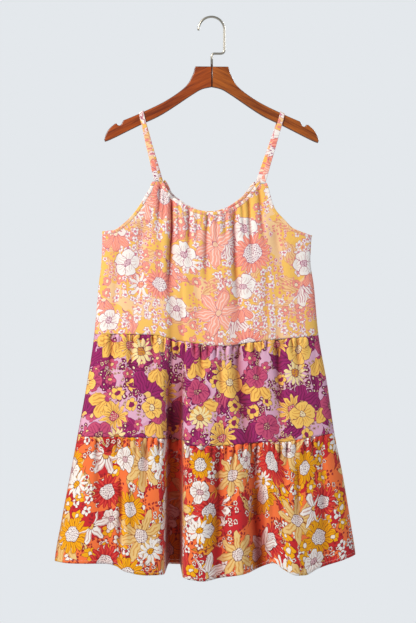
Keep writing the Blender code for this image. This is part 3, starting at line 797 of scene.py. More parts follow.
@dataclass(frozen=True)
class SatinNickel:
    """Nickel-plated steel wire with a satin polish."""

    # To the eye: pale warm grey, with soft long highlights and faint drawing marks.
    colours: tuple[str, str] = ("#B8B2A4", "#C9C4B8")
    roughness: tuple[float, float] = (0.30, 0.46)
    marks_per_metre: float = 900.0

    def material(self) -> bpy.types.Material:
        """Builds the material.

        Returns:
            The wire's material.
        """
        made, tree, shader = new_material("satin_nickel_wire")
        place = add(tree, "ShaderNodeTexCoord", output="Object")
        marks = {"Vector": place, "Scale": self.marks_per_metre, "Detail": 3.0}
        known = {"marks": add(tree, "ShaderNodeTexNoise", marks)}
        steps = (
            ("rough", "RANGE", "marks", 0.0, 1.0, *self.roughness),
            ("colour", "MIX", "marks", *self.colours),
        )
        work_out(tree, known, steps)
        feed(shader, {"Base Color": known["colour"], "Roughness": known["rough"], "Metallic": 1.0})
        return made


@dataclass(frozen=True)
class SewingThread:
    """Spun polyester sewing thread."""

    # To the eye: matt, a little paler where its twist catches the light.
    colour: str
    roughness: float = 0.75
    twists_per_metre: float = 2500.0

    def material(self) -> bpy.types.Material:
        """Builds the material.

        Returns:
            The thread's material.
        """
        made, tree, shader = new_material(f"sewing_thread_{self.colour[1:].lower()}")
        place = add(tree, "ShaderNodeTexCoord", output="Object")
        twist = {"Vector": place, "Scale": self.twists_per_metre, "Detail": 1.0}
        known = {"twist": add(tree, "ShaderNodeTexNoise", twist)}
        steps = (
            ("shade", "MIX", "twist", self.colour, WHITE),
            ("colour", "MIX", 0.25, self.colour, "shade"),
        )
        work_out(tree, known, steps)
        feed(shader, {"Base Color": known["colour"], "Roughness": self.roughness})
        return made


# ======================== the form of the cloth

# The body of cloth: drop, left edge, right edge, depth of the front, depth of the back
BODY_LEVELS = (
    (300, -203, 186, 8, 8), (400, -203, 186, 12, 11), (450, -204.5, 184, 15, 13),
    (500, -210, 190.5, 19, 16), (590, -218, 199, 27, 21), (680, -231.5, 215, 34, 26),
    (775, -248.5, 229, 41, 30), (850, -262.5, 244, 46, 34), (930, -277.5, 257.5, 51, 37),
    (1010, -291, 269, 55, 40), (1050, -293, 271, 56, 41),
)
ARMHOLE_LEFT = (
    (-203, 404.3), (-181, 402), (-160, 388), (-143, 371), (-130, 353.5), (-120.5, 337), (-111.5, 322),
    (-104.7, 306),
)
NECKLINE = (
    (-100.3, 306), (-84.5, 330.5), (-67, 345), (-47, 357.5), (-29, 365), (-7, 368.5), (14, 367),
    (33.5, 361.5), (54.5, 350), (70, 336.5), (79, 325), (92.6, 309.5),
)
ARMHOLE_RIGHT = (
    (95.4, 309.5), (106.5, 343), (112.5, 359), (129.5, 378.5), (148.5, 397), (164, 403.5), (186, 411),
)
BACK_EDGE_SHIFT = (
    (-203, 0, 0), (-104.7, 8, 0), (-100.3, 8, 0), (-47, 4, 2), (54.5, -5, 4), (92.6, -8, 0), (95.4, -8, 0),
    (186, 0, 0),
)
UPPER_SEAM = (
    (-230, 589), (-121, 590), (-47, 604), (3.5, 610.5), (24, 611), (57, 606.5), (101, 601), (173, 594),
    (210, 590),
)
LOWER_SEAM = (
    (-260, 778), (-110, 780), (-90, 783), (-52, 786), (-44, 795), (6, 795), (56, 792), (96, 788),
    (133, 788), (163, 783), (203, 777), (240, 770),
)
FRONT_HEM = (
    (-300, 1007), (-261, 1010.5), (-200, 1010.5), (-180, 1014), (-164, 1024), (-120, 1031), (-92, 1031),
    (-78, 1013), (-60, 1013), (-48, 1037), (-21, 1043), (14, 1037), (60, 1029), (86, 1021), (112, 1011),
    (127, 1021), (153, 1033), (168, 1033), (193, 1022), (234, 1010), (275, 997),
)
BACK_HEM = ((-300, 1007), (-200, 1014), (-90, 1018), (20, 1016), (130, 1014), (275, 997))

# Folds along each edge: x of the middle, half-width, push inwards (a ridge is negative), 1 for a box fold
FRONT_NECK_FOLDS = (
    (-97, 5, 1.5, 0), (-74, 6, 3.5, 0), (-43, 6, 2, 0), (-10, 7, 2, 0), (41, 6, 2.5, 0), (69, 6, 1.5, 0),
)
FRONT_UPPER_FOLDS = ((-67, 15, 5, 1), (-186, 12, 3, 0), (46, 16, 3, 0), (122, 10, 2.5, 0))
FRONT_LOWER_FOLDS = ((-69, 18, 32, 1), (-186, 18, 5, 0), (18, 16, 5, 0), (66, 16, 7, 0), (122, 13, 4, 0))
FRONT_HEM_FOLDS = (
    (-69, 19, 56, 1), (-205, 24, 9, 0), (-140, 22, -6, 0), (10, 17, 10, 0), (50, 15, -6, 0),
    (88, 19, 30, 0), (150, 20, -9, 0), (215, 22, 9, 0),
)
BACK_UPPER_FOLDS = ((-110, 16, 3, 0), (20, 16, 3, 0), (105, 14, 3, 0))
BACK_LOWER_FOLDS = ((-150, 20, 8, 0), (-30, 22, 10, 0), (90, 20, 8, 0))
BACK_HEM_FOLDS = ((-190, 24, 14, 0), (-60, 26, 20, 0), (55, 24, 17, 0), (165, 24, 15, 0))

# Guide lines down the cloth: the solid's faces from it to the next line, then its x at each of GUIDE_DROPS
GUIDE_DROPS = (300, 600, 785, 1030)
FRONT_GUIDES = (
    (14, None),
    (1, (-104.7, -112, -122, -136)),
    (2, (-100.3, -105, -112, -118)),
    (11, (-92, -93, -94, -93)),
    (14, (-50, -47, -46, -47)),
    (1, (92.6, 99, 110, 122)),
    (13, (95.4, 104, 117, 131)),
    (0, None),
)
BACK_GUIDES = (
    (10, None),
    (1, (-96.7, -104, -116, -130)),
    (16, (-92.3, -97, -108, -120)),
    (1, (84.6, 92, 104, 118)),
    (9, (87.4, 97, 111, 127)),
    (0, None),
)

# Creases: x and drop at the top, x and drop at the bottom, half-width, depth (a ridge is negative)
FRONT_BODICE_CREASES = (
    (-97, 318, -102, 405, 3.5, 1.6), (-88, 330, -92, 392, 3.2, 1.8), (-74, 338, -81, 540, 5.0, 3.4),
    (-62, 346, -65, 436, 3.5, 1.6), (-43, 358, -46, 438, 3.8, 2.1), (-27, 364, -28, 424, 3.2, 1.4),
    (-10, 367, -12, 500, 4.4, 2.1), (9, 366, 10, 432, 3.2, 1.3), (24, 363, 26, 418, 3.0, 1.4),
    (41, 356, 48, 575, 6.0, 2.8), (57, 346, 61, 430, 3.6, 1.6), (69, 336, 74, 460, 4.2, 2.1),
    (88, 316, 97, 430, 4.6, 2.2), (-128, 385, -152, 575, 13, 2.2), (118, 392, 142, 580, 13, 2.2),
    (-176, 430, -186, 588, 11, 1.9), (158, 425, 164, 588, 11, 1.8), (-30, 480, -26, 605, 13, 1.6),
    (100, 470, 103, 600, 11, 1.7),
)
FRONT_MIDDLE_CREASES = (
    (-205, 592, -214, 775, 8, 2.4), (-186, 590, -190, 705, 7, 4.6), (-150, 592, -154, 712, 6, 2.8),
    (-112, 592, -115, 668, 5, 2.2), (15, 612, 17, 712, 6, 3.0), (46, 609, 58, 788, 12, 6.0),
    (82, 604, 86, 692, 5, 2.4), (122, 600, 126, 762, 8, 4.6), (160, 597, 166, 700, 6, 2.4),
    (-20, 612, -22, 690, 6, 2.0), (190, 596, 200, 760, 8, 2.4),
)
FRONT_BOTTOM_CREASES = (
    (-246, 785, -262, 985, 10, 3.4), (-210, 783, -214, 930, 8, 4.2), (-172, 862, -173, 1020, 5, 4.0),
    (-160, 862, -161, 1025, 6, -3.4), (-124, 786, -128, 915, 7, 3.0), (10, 805, 10, 1010, 9, 4.6),
    (36, 800, 38, 930, 7, 2.4), (80, 792, 84, 975, 12, 6.0), (101, 872, 102, 1015, 5, -4.2),
    (128, 800, 134, 900, 7, 2.6), (156, 835, 158, 950, 6, 3.6), (200, 785, 212, 975, 9, 4.0),
    (-20, 850, -18, 1030, 11, -2.8),
)
BACK_BODICE_CREASES = (
    (-80, 330, -86, 420, 3.8, 1.8), (-58, 345, -62, 520, 5.0, 2.8), (-34, 358, -36, 440, 3.8, 1.8),
    (-8, 362, -10, 480, 4.4, 2.2), (16, 360, 18, 430, 3.6, 1.6), (38, 352, 42, 560, 5.5, 2.6),
    (62, 338, 66, 440, 4.0, 1.9), (76, 322, 84, 420, 4.0, 1.8), (-130, 395, -150, 570, 13, 2.2),
    (112, 395, 138, 575, 13, 2.2), (-174, 430, -184, 585, 11, 1.8), (156, 430, 164, 585, 11, 1.8),
)
BACK_MIDDLE_CREASES = (
    (-192, 592, -200, 740, 8, 3.2), (-148, 592, -152, 770, 8, 4.0), (-100, 594, -103, 680, 6, 2.4),
    (-52, 603, -54, 720, 7, 3.2), (-6, 610, -7, 690, 6, 2.4), (40, 609, 44, 778, 9, 4.2),
    (92, 602, 96, 700, 6, 2.6), (136, 598, 142, 765, 8, 3.6), (180, 596, 188, 720, 7, 2.6),
)
BACK_BOTTOM_CREASES = (
    (-240, 782, -254, 960, 10, 3.4), (-196, 782, -202, 1000, 10, 4.6), (-150, 784, -154, 890, 7, 3.0),
    (-104, 784, -108, 960, 9, 4.2), (-58, 790, -60, 1005, 10, 4.8), (-12, 796, -12, 900, 7, 2.6),
    (30, 795, 34, 985, 9, 4.2), (84, 790, 90, 925, 8, 3.2), (128, 788, 138, 1000, 10, 4.6),
    (178, 784, 188, 920, 8, 3.0), (212, 778, 228, 980, 9, 3.4),
)


class Side(Enum):
    """Which face of the dress a piece is on, as the sign of its depth in Y."""

    FRONT = -1
    BACK = 1


CREASE_RELIEF = 1.75  # how deep the creases are cut, over the depths in their tables
CREASE_WANDERS = ((1.1, 31, 1), (0.5, 13, 2))  # each sideways wave's size and length in mm, and its start
RIPPLE = 0.55  # how far the whole cloth ripples, in mm
PUCKER_HALVES = (2.0, 4.2)  # least and most half-width of a pucker, in mm
PUCKER_LEAN = (-4, 4)
PUCKER_SWELL = 7.0  # a pucker is deepest this far below its seam
PUCKER_BANKS = (0.42, 2.5)  # how high and how wide the banks beside it are, over its own size


@dataclass
class Creases:
    """Soft, uneven troughs and ridges, each along a line that leans with the cloth."""

    rows: Table

    def push(self, x: np.ndarray, drop: np.ndarray) -> np.ndarray:
        """Works out how far the creases push the cloth inwards.

        Args:
            x: places across, in mm.
            drop: their drops, in mm.

        Returns:
            The push in mm at each place.
        """
        total = np.zeros_like(x)
        for x_top, top, x_bottom, bottom, half, depth in self.rows:
            share = (drop - top) / (bottom - top)
            middle = x_top + (x_bottom - x_top) * np.clip(share, -0.2, 1.2)
            wander = sum(size * np.sin(drop / wave + turn * x_top) for size, wave, turn in CREASE_WANDERS)
            spread = half * (0.8 + 0.5 * np.clip(share, 0, 1))
            away = (x - middle - wander) / spread
            window = ease((share + 0.10) / 0.22) * ease((1.12 - share) / 0.62)
            total += CREASE_RELIEF * depth * window * np.exp(-np.abs(away) ** 1.6)
        return total


@dataclass
class Gathers:
    """Fine puckers that start at a gathered seam and die out below it, uneven in place, depth and length."""

    seam: Table
    seed: int
    span: tuple[float, float]
    pitch: tuple[float, float] = (8.0, 17.0)
    depth: tuple[float, float] = (5.0, 12.0)
    length: tuple[float, float] = (16.0, 58.0)
    rows: list[Row] = field(default_factory=list)

    def __post_init__(self) -> None:
        """Draws the puckers' places and sizes."""
        draw = np.random.default_rng(self.seed)
        x = self.span[0]
        while x < self.span[1]:
            spans = (PUCKER_HALVES, self.depth, self.length, PUCKER_LEAN)
            self.rows.append((x, *(draw.uniform(*span) for span in spans)))
            x += draw.uniform(*self.pitch)

    def push(self, x: np.ndarray, drop: np.ndarray) -> np.ndarray:
        """Works out how far the puckers push the cloth inwards.

        Args:
            x: places across, in mm.
            drop: their drops, in mm.

        Returns:
            The push in mm at each place.
        """
        total = np.zeros_like(x)
        below = drop - smooth_curve(self.seam, x)
        for middle, half, depth, length, lean in self.rows:
            run = np.clip(below / length, 0, 1.4)
            away = (x - middle - lean * run) / (half * (1 + 0.9 * run))
            swell = 0.45 + 0.55 * ease(below / PUCKER_SWELL)
            banks = PUCKER_BANKS[0] * np.exp(-((away / PUCKER_BANKS[1]) ** 2))
            valley = np.exp(-np.abs(away) ** 1.4) - banks
            total += depth * swell * (1 - ease(run / 1.25)) * valley
        return total


@dataclass
class ClothFace:
    """The front or the back of the body of cloth, whose sections hang between its two side seams."""

    side: Side
    guides: tuple
    finer: int = 7  # how many columns of points each face of the solid gets
    lip: float = 2.2  # how far the cloth stands off at a side seam, in mm

    def edges(self, drop: np.ndarray | float) -> tuple[np.ndarray, np.ndarray]:
        """Returns x of the left and right side seams at a drop."""
        return smooth_curve(BODY_LEVELS, drop, 1), smooth_curve(BODY_LEVELS, drop, 2)

    def guide_x(self, number: int, drop: np.ndarray) -> np.ndarray:
        """Finds one guide line. The first and last are the side seams.

        Args:
            number: which guide line.
            drop: places down, in mm.

        Returns:
            Its x in mm at each drop.
        """
        xs = self.guides[number][1]
        if xs is None:
            return self.edges(drop)[0 if number == 0 else 1]
        return smooth_curve(list(zip(GUIDE_DROPS, xs)), drop)

    def columns(self) -> list[tuple[int, float]]:
        """Places the columns of points between the guide lines.

        Returns:
            The guide line before each column, and its share of the way to the next one.
        """
        found = []
        last = len(self.guides) - 2
        for number, (count, _) in enumerate(self.guides[:-1]):
            count *= self.finer
            for k in range(count):
                share = k / count
                if number == 0:
                    share = 1 - cos(share * pi / 2) ** 0.8 if k else 0.0
                if number == last:
                    share = sin(share * pi / 2) ** 1.1
                found.append((number, share))
        found.append((last, 1.0))
        return found

    def columns_x(self, drop: np.ndarray) -> np.ndarray:
        """Finds every column, each at its own drop.

        Args:
            drop: a drop for each column, in mm.

        Returns:
            The columns' x in mm.
        """
        columns = self.columns()
        lines = np.array([self.guide_x(n, drop) for n in range(len(self.guides))])
        number = np.array([n for n, _ in columns])
        share = np.array([s for _, s in columns])
        pick = np.arange(len(columns))
        here, after = lines[number, pick], lines[number + 1, pick]
        return here + (after - here) * share

    def corners(self) -> list[int]:
        """Returns the column number of each guide line."""
        return [i for i, (_, share) in enumerate(self.columns()) if share == 0.0] + [len(self.columns()) - 1]

    def across(self, x: np.ndarray, drop: np.ndarray) -> np.ndarray:
        """Returns 0 in the middle of the body and 1 at its side seams."""
        left, right = self.edges(drop)
        return np.minimum(1.0, np.abs(2 * x - left - right) / (right - left))

    def envelope(self, x: np.ndarray, drop: np.ndarray) -> np.ndarray:
        """Works out how far the smooth body stands from the plane of the side seams.

        Args:
            x: places across, in mm.
            drop: their drops, in mm.

        Returns:
            The depth in mm at each place.
        """
        column = 3 if self.side is Side.FRONT else 4
        depth = smooth_curve(BODY_LEVELS, drop, column)
        return self.lip + (depth - self.lip) * np.sqrt(np.maximum(0.0, 1 - self.across(x, drop) ** 4))


def fold_push(x: np.ndarray, folds: Table) -> tuple[np.ndarray, np.ndarray]:
    """Works out an edge's folds.

    Args:
        x: places along the edge, in mm.
        folds: the edge's folds.

    Returns:
        The push inwards and the shift in x. A box fold's right edge laps over it.
    """
    push, shift = np.zeros_like(x), np.zeros_like(x)
    for middle, half, depth, boxed in folds:
        away = (x - middle) / half
        if boxed:
            push += depth / (1 + np.abs(away) ** 6)
            lip = (x - middle - 1.25 * half) / (0.5 * half)
            shift -= 0.14 * depth * np.exp(-lip * lip)
        else:
            push += depth * np.exp(-away * away)
    return push, shift


# painted shade in folds: how far to each side a point is compared with the cloth, and how much each reach
# counts
PAINTED_SHADE_REACHES = ((5.0, 0.85), (14.0, 0.5), (34.0, 0.9))  # mm to each side, and how much it counts
EDGE_TRIES = 14
LEDGE = ((1.2, 0.0, 2.0), (-1.8, 13.0, 13.0))  # below a seam: push inwards, how far below, how far it reaches
HEM_PROUD, HEM_GROOVE = 0.35, 0.5  # how far the turned hem stands out and its stitches sink in, in mm
SEAM_SHUT = 3 * MM  # cloth nearer than this to the plane of the side seams isn't tucked in
TUCKED_BACK, SEAM_BACK = 2.4, 0.4  # how far behind the tier above the tucked row and the seam row lie, in mm


@dataclass
class Panel:
    """One tier of one face: a thin shell on its solid's form, with creases and gathers."""

    name: str
    face: ClothFace
    top: Table
    bottom: Table
    top_folds: Table
    bottom_folds: Table
    rows: int
    creases: Creases
    gathers: Gathers
    print_start: tuple[float, float]
    tuck_top: float = 0.0
    wall: float = 0.8
    hem: float = 0.0
    crowding: float = 1.2  # above 1 the rows of points lie closer together at the top

    def surface(self, x: np.ndarray, drop: np.ndarray, ends: tuple, share: np.ndarray) -> np.ndarray:
        """Works out the cloth's middle surface.

        Args:
            x: places across, in mm.
            drop: places down, in mm.
            ends: x of the same columns at the panel's top and bottom edges.
            share: 0 at the top edge and 1 at the bottom one.

        Returns:
            The points in metres.
        """
        top_push, top_shift = fold_push(ends[0], self.top_folds)
        bottom_push, bottom_shift = fold_push(ends[1], self.bottom_folds)
        turn = ease(share)
        across = self.face.across(x, drop)
        inside = 1 - across**8
        push = (top_push * (1 - turn) + bottom_push * turn) * inside
        shift = (top_shift * (1 - turn) + bottom_shift * turn) * inside
        fine = self.creases.push(x, drop) + self.gathers.push(x, drop)
        fine += RIPPLE * np.sin(x / 19 + drop / 83) * np.sin(drop / 47 + x / 61)
        if self.tuck_top:
            below = drop - smooth_curve(self.top, x)
            for depth, middle, reach in LEDGE:
                fine += depth * np.exp(-(((below - middle) / reach) ** 2))
        if self.hem:
            above = smooth_curve(self.bottom, x) - drop
            fine -= HEM_PROUD * ease((self.hem - above) / 1.5)
            fine += HEM_GROOVE * np.exp(-((above - self.hem) ** 2) / 3.0)
        depth = self.face.envelope(x, drop) - push - fine * (1 - across**6)
        y = self.face.side.value * depth
        return np.stack([x + shift, y, -drop], axis=-1) * MM

    def painted_shade_amounts(self, points: np.ndarray) -> np.ndarray:
        """Finds how deep each point lies in a fold, against the cloth some way to its left and right, which
        sets its painted shade.

        Args:
            points: rows of points, in metres.

        Returns:
            0 on open cloth to 1 at the bottom of a deep fold, for each point.
        """
        found = np.ones(points.shape[:2])
        for reach, weight in PAINTED_SHADE_REACHES:
            for row, kept in zip(points, found):
                x = np.maximum.accumulate(row[:, 0]) + np.arange(len(row)) * 1e-7
                out = self.face.side.value * row[:, 1]
                beside = 0.5 * (np.interp(x - reach * MM, x, out) + np.interp(x + reach * MM, x, out))
                kept *= 1 - weight * np.clip((beside - out) / (reach * MM), 0, 1)
        found[:, [0, -1]] = 1.0
        return 1 - found

    def drops(self) -> tuple[np.ndarray, np.ndarray]:
        """Finds where every column meets the panel's edges, by trying again from each answer.

        Returns:
            The columns' drops in mm at the top edge and at the bottom one.
        """
        found = []
        for edge in (self.top, self.bottom):
            drop = np.full(len(self.face.columns()), float(np.mean([row[1] for row in edge])))
            for _ in range(EDGE_TRIES):
                drop = smooth_curve(edge, self.face.columns_x(drop))
            found.append(drop)
        return found[0], found[1]

    def grid(self) -> tuple[np.ndarray, np.ndarray]:
        """Builds the panel's points and their places on the flat cloth.

        Returns:
            Rows of points in metres, and rows of flat places in mm.
        """
        tops, bottoms = self.drops()
        ends = self.face.columns_x(tops), self.face.columns_x(bottoms)
        shares = np.linspace(0, 1, self.rows + 1) ** self.crowding
        rows = []
        for share in shares:
            drop = tops + (bottoms - tops) * share
            x = self.face.columns_x(drop)
            rows.append(self.surface(x, drop, ends, np.full_like(x, share)))
        points = np.array(rows)
        seam_ends = points[:, [0, -1]].copy()
        seam_ends[:, :, 1] = 0.0
        points = np.concatenate([seam_ends[:, :1], points, seam_ends[:, 1:]], axis=1)
        if self.tuck_top:
            tucked = points[:1].copy()
            tucked[..., 2] += self.tuck_top * MM
            tucked[..., 1] -= self.face.side.value * TUCKED_BACK * MM * (np.abs(points[:1, :, 1]) > SEAM_SHUT)
            points[0, :, 1] -= self.face.side.value * SEAM_BACK * MM * (np.abs(points[0, :, 1]) > SEAM_SHUT)
            points = np.concatenate([tucked, points], axis=0)
        u = run_lengths(points[-1]) + self.print_start[0]
        fall = np.linalg.norm(np.diff(points, axis=0), axis=2) / MM
        v = -np.concatenate([np.zeros((1, points.shape[1])), np.cumsum(fall, axis=0)])
        v = v - v[-1:] + self.print_start[1]
        return points, np.stack([np.broadcast_to(u, v.shape), v], axis=-1)


# ======================== meshes


def place_object(name: str, data: bpy.types.ID) -> bpy.types.Object:
    """Puts an object of some mesh, curve, light or camera data into the scene.

    Args:
        name: the object's name.
        data: what it shows.

    Returns:
        The object, at the origin.
    """
    thing = bpy.data.objects.new(name, data)
    bpy.context.scene.collection.objects.link(thing)
    return thing


def plain_mesh(thing: bpy.types.Object, name: str) -> bpy.types.Mesh:
    """Turns a curve, or a mesh with modifiers, into a plain mesh and removes the object.

    Args:
        thing: the object.
        name: the mesh's name.

    Returns:
        The smooth mesh, with no material.
    """
    graph = bpy.context.evaluated_depsgraph_get()
    mesh = bpy.data.meshes.new_from_object(thing.evaluated_get(graph))
    mesh.name = name
    thing.modifiers.clear()
    bpy.data.objects.remove(thing)
    mesh.shade_smooth()
    mesh.materials.clear()
    return mesh


def point_outwards(mesh: bpy.types.Mesh, merge: float = 0.0) -> None:
    """Turns a closed mesh's faces outwards.

    Args:
        mesh: the mesh.
        merge: how near two points are that become one first, in metres.
    """
    bm = bmesh.new()
    bm.from_mesh(mesh)
    if merge:
        bmesh.ops.remove_doubles(bm, verts=bm.verts, dist=merge)
    bmesh.ops.recalc_face_normals(bm, faces=bm.faces)
    bm.to_mesh(mesh)
    bm.free()


def add_mesh(
    name: str, points: np.ndarray, faces: Sequence[Sequence[int]], uv: np.ndarray | None = None
) -> bpy.types.Object:
    """Makes a smooth mesh object at the origin.

    Args:
        name: the object's name.
        points: the vertices, in metres.
        faces: vertex numbers of each face.
        uv: each vertex's place on the flat cloth in mm, where it has one.

    Returns:
        The object, linked to the scene.
    """
    mesh = bpy.data.meshes.new(name)
    mesh.from_pydata(points.reshape(-1, 3).tolist(), [], faces)
    if uv is not None:
        layer = mesh.uv_layers.new(name="cloth_mm")
        corners = np.empty(len(mesh.loops), dtype=np.int64)
        mesh.loops.foreach_get("vertex_index", corners)
        layer.data.foreach_set("uv", uv.reshape(-1, 2)[corners].astype(np.float32).ravel())
    mesh.shade_smooth()
    return place_object(name, mesh)


def grid_faces(rows: int, columns: int, turn: bool) -> list[tuple[int, int, int, int]]:
    """Lists the faces between rows of points.

    Args:
        rows: how many rows of points.
        columns: how many points in a row.
        turn: True turns the faces over.

    Returns:
        Four point numbers for each face.
    """
    faces = []
    for r in range(rows - 1):
        for c in range(columns - 1):
            a, b = r * columns + c, (r + 1) * columns + c
            faces.append((a, a + 1, b + 1, b) if turn else (a, b, b + 1, a + 1))
    return faces


def sweep(name: str, sections: np.ndarray, uv: np.ndarray | None = None) -> bpy.types.Object:
    """Joins closed sections into a capped tube whose faces point outwards.

    Args:
        name: the object's name.
        sections: points of each section, in order round it.
        uv: each point's place on the flat cloth in mm.

    Returns:
        The tube's object.
    """
    count, sides = sections.shape[:2]
    faces = []
    for i in range(count - 1):
        for k in range(sides):
            a, b = i * sides + k, i * sides + (k + 1) % sides
            faces.append((a, b, b + sides, a + sides))
    faces.append(tuple(reversed(range(sides))))
    faces.append(tuple(range((count - 1) * sides, count * sides)))
    thing = add_mesh(name, sections, faces, uv)
    point_outwards(thing.data)
    return thing


def run_lengths(points: np.ndarray) -> np.ndarray:
    """Returns how far each point of a line lies from its first one, in mm."""
    steps = np.linalg.norm(np.diff(points, axis=0), axis=1) / MM
    return np.concatenate([[0.0], np.cumsum(steps)])


def finish_piece(piece: bpy.types.Object, nodes: Sequence[str], materials: Sequence) -> None:
    """Gives a piece its materials and places it in the frame.

    Args:
        piece: the object.
        nodes: the CAD nodes that it stands for.
        materials: the materials of its slots.
    """
    for material in materials:
        piece.data.materials.append(material)
    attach(piece, BODY)
    if nodes:
        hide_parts(*nodes)
    LOG.info("%s: %d points", piece.name, len(piece.data.vertices))


# ======================== the dress


@dataclass
class Strip:
    """A narrow strip of folded cloth, cut on the bias, swept along a line with a flattened round section."""

    name: str
    half_width: float
    half_wall: float
    sides: int
    square: float  # how square its section is, from 1 for an ellipse towards 0
    print_start: tuple[float, float] = (0.0, 0.0)

    def sweep_along(self, along: np.ndarray, line: np.ndarray, ways: tuple, swell: tuple) -> bpy.types.Object:
        """Builds the strip.

        Args:
            along: how far along the cloth each section lies, in mm.
            line: the points of its middle line, in metres.
            ways: the ways across it and through it at each point.
            swell: how much wider and how much thicker than usual it is at each.

        Returns:
            The strip's object.
        """
        angles = np.linspace(0, tau, self.sides, endpoint=False)
        over = 0.0
        for wave, half, way, more in zip((np.cos, np.sin), (self.half_width, self.half_wall), ways, swell):
            outline = np.sign(wave(angles)) * np.abs(wave(angles)) ** self.square * half
            over = over + way[:, None, :] * outline[None, :, None] * np.reshape(more, (-1, 1, 1))
        girth = np.linspace(0, 4 * self.half_width, self.sides, endpoint=False)[None, :]
        far, slant = along[:, None], sqrt(0.5)
        flat = [self.print_start[0] + (far - girth) * slant, self.print_start[1] + (far + girth) * slant]
        return sweep(self.name, line[:, None, :] + over * MM, np.stack(flat, axis=-1))


@dataclass
class Binding(Strip):
    """A bias binding rolled over an edge of the top tier: a soft flattened roll with small puckers."""

    half_width: float = 3.15
    half_wall: float = 1.0
    sides: int = 12
    square: float = 0.72
    overlap: float = 0.35
    seam_rise: float = 1.3
    thread_proud: float = 0.05
    puckers: Table = ((0.10, 1.9, 0.0), (0.10, 3.7, 1.3))  # each wave's share of the wall, length and start

    def seam_line(self, edge: np.ndarray, away: np.ndarray, normal: np.ndarray) -> np.ndarray:
        """Returns the line of stitches that holds the roll, just above its lower edge, in metres."""
        proud = self.half_wall + self.thread_proud
        return edge + (away * (self.seam_rise - self.overlap) + normal * proud) * MM

    def build(self, edge: np.ndarray, away: np.ndarray, normal: np.ndarray) -> bpy.types.Object:
        """Builds the roll.

        Args:
            edge: points along the cloth's edge, in metres.
            away: the way out of the cloth at each, in its plane.
            normal: the cloth's normal at each.

        Returns:
            The binding's object.
        """
        along = run_lengths(edge)
        pucker = sum(size * np.sin(along / wave + start) for size, wave, start in self.puckers)
        centre = edge + away * (self.half_width - self.overlap) * MM
        return self.sweep_along(along, centre, (away, normal), (1.0, 1 + pucker))


@dataclass
class Strap(Strip):
    """A narrow folded strap from the front of the top tier, over the plate and down to the back."""

    half_width: float = 4.75
    half_wall: float = 0.8
    sides: int = 16
    square: float = 0.42
    hand: int = 1
    over_x: float = 0.0
    plate_half: float = 0.0
    plate_bevel: float = 0.0
    lean: float = radians(12)
    lean_on_plate: float = radians(28.5)
    gap: float = 0.3 * MM
    bow: float = 0.9 * MM
    parts: int = 34
    foot_share: float = 0.06  # how much of the way up it takes to start leaning
    turn_share: float = 0.6  # how far up it starts to turn towards its lean on the plate

    def path(self, front: Vector, back: Vector, crown: float) -> tuple[np.ndarray, np.ndarray]:
        """Works out the strap's middle line.

        Args:
            front: its foot at the front.
            back: its foot at the back.
            crown: height of its middle line over the plate.

        Returns:
            The points, and the lean of the strap's width at each.
        """
        wall = self.half_wall * MM
        over_y = self.plate_half + self.gap + wall
        shoulder = self.plate_bevel + wall + self.gap
        run: list[list[tuple[Vector, float]]] = []
        for foot, sign in ((front, -1), (back, 1)):
            side = []
            high = Vector((self.over_x, sign * over_y, crown - shoulder))
            for share in np.linspace(0, 0.96, self.parts):
                lean = self.lean * min(1.0, share / self.foot_share)
                turned = float(ease((share - self.turn_share) / (1 - self.turn_share)))
                lean += (self.lean_on_plate - self.lean) * turned
                place = foot.lerp(high, share)
                place.y += sign * self.bow * sin(pi * share)
                side.append((place, lean))
            for turn in range(0, 91, 15):
                a = radians(turn)
                reach = Vector((0, -sign * shoulder * (1 - cos(a)), shoulder * sin(a)))
                side.append((high + reach, self.lean_on_plate))
            run.append(side)
        whole = run[0] + [(Vector((self.over_x, 0, crown)), self.lean_on_plate)] + run[1][::-1]
        return np.array([p for p, _ in whole]), np.array([a for _, a in whole])

    def build(self, front: Vector, back: Vector, crown: float) -> bpy.types.Object:
        """Builds the strap.

        Args:
            front: its foot at the front.
            back: its foot at the back.
            crown: height of its middle line over the plate.

        Returns:
            The strap's object.
        """
        points, leans = self.path(front, back, crown)
        width = np.stack([np.cos(leans), 0 * leans, -self.hand * np.sin(leans)], axis=-1)
        normal = unit(np.cross(np.gradient(points, axis=0), width))
        along = run_lengths(points)
        return self.sweep_along(along, points, (width, normal), (1 + 0.02 * np.sin(along / 9), 1.0))


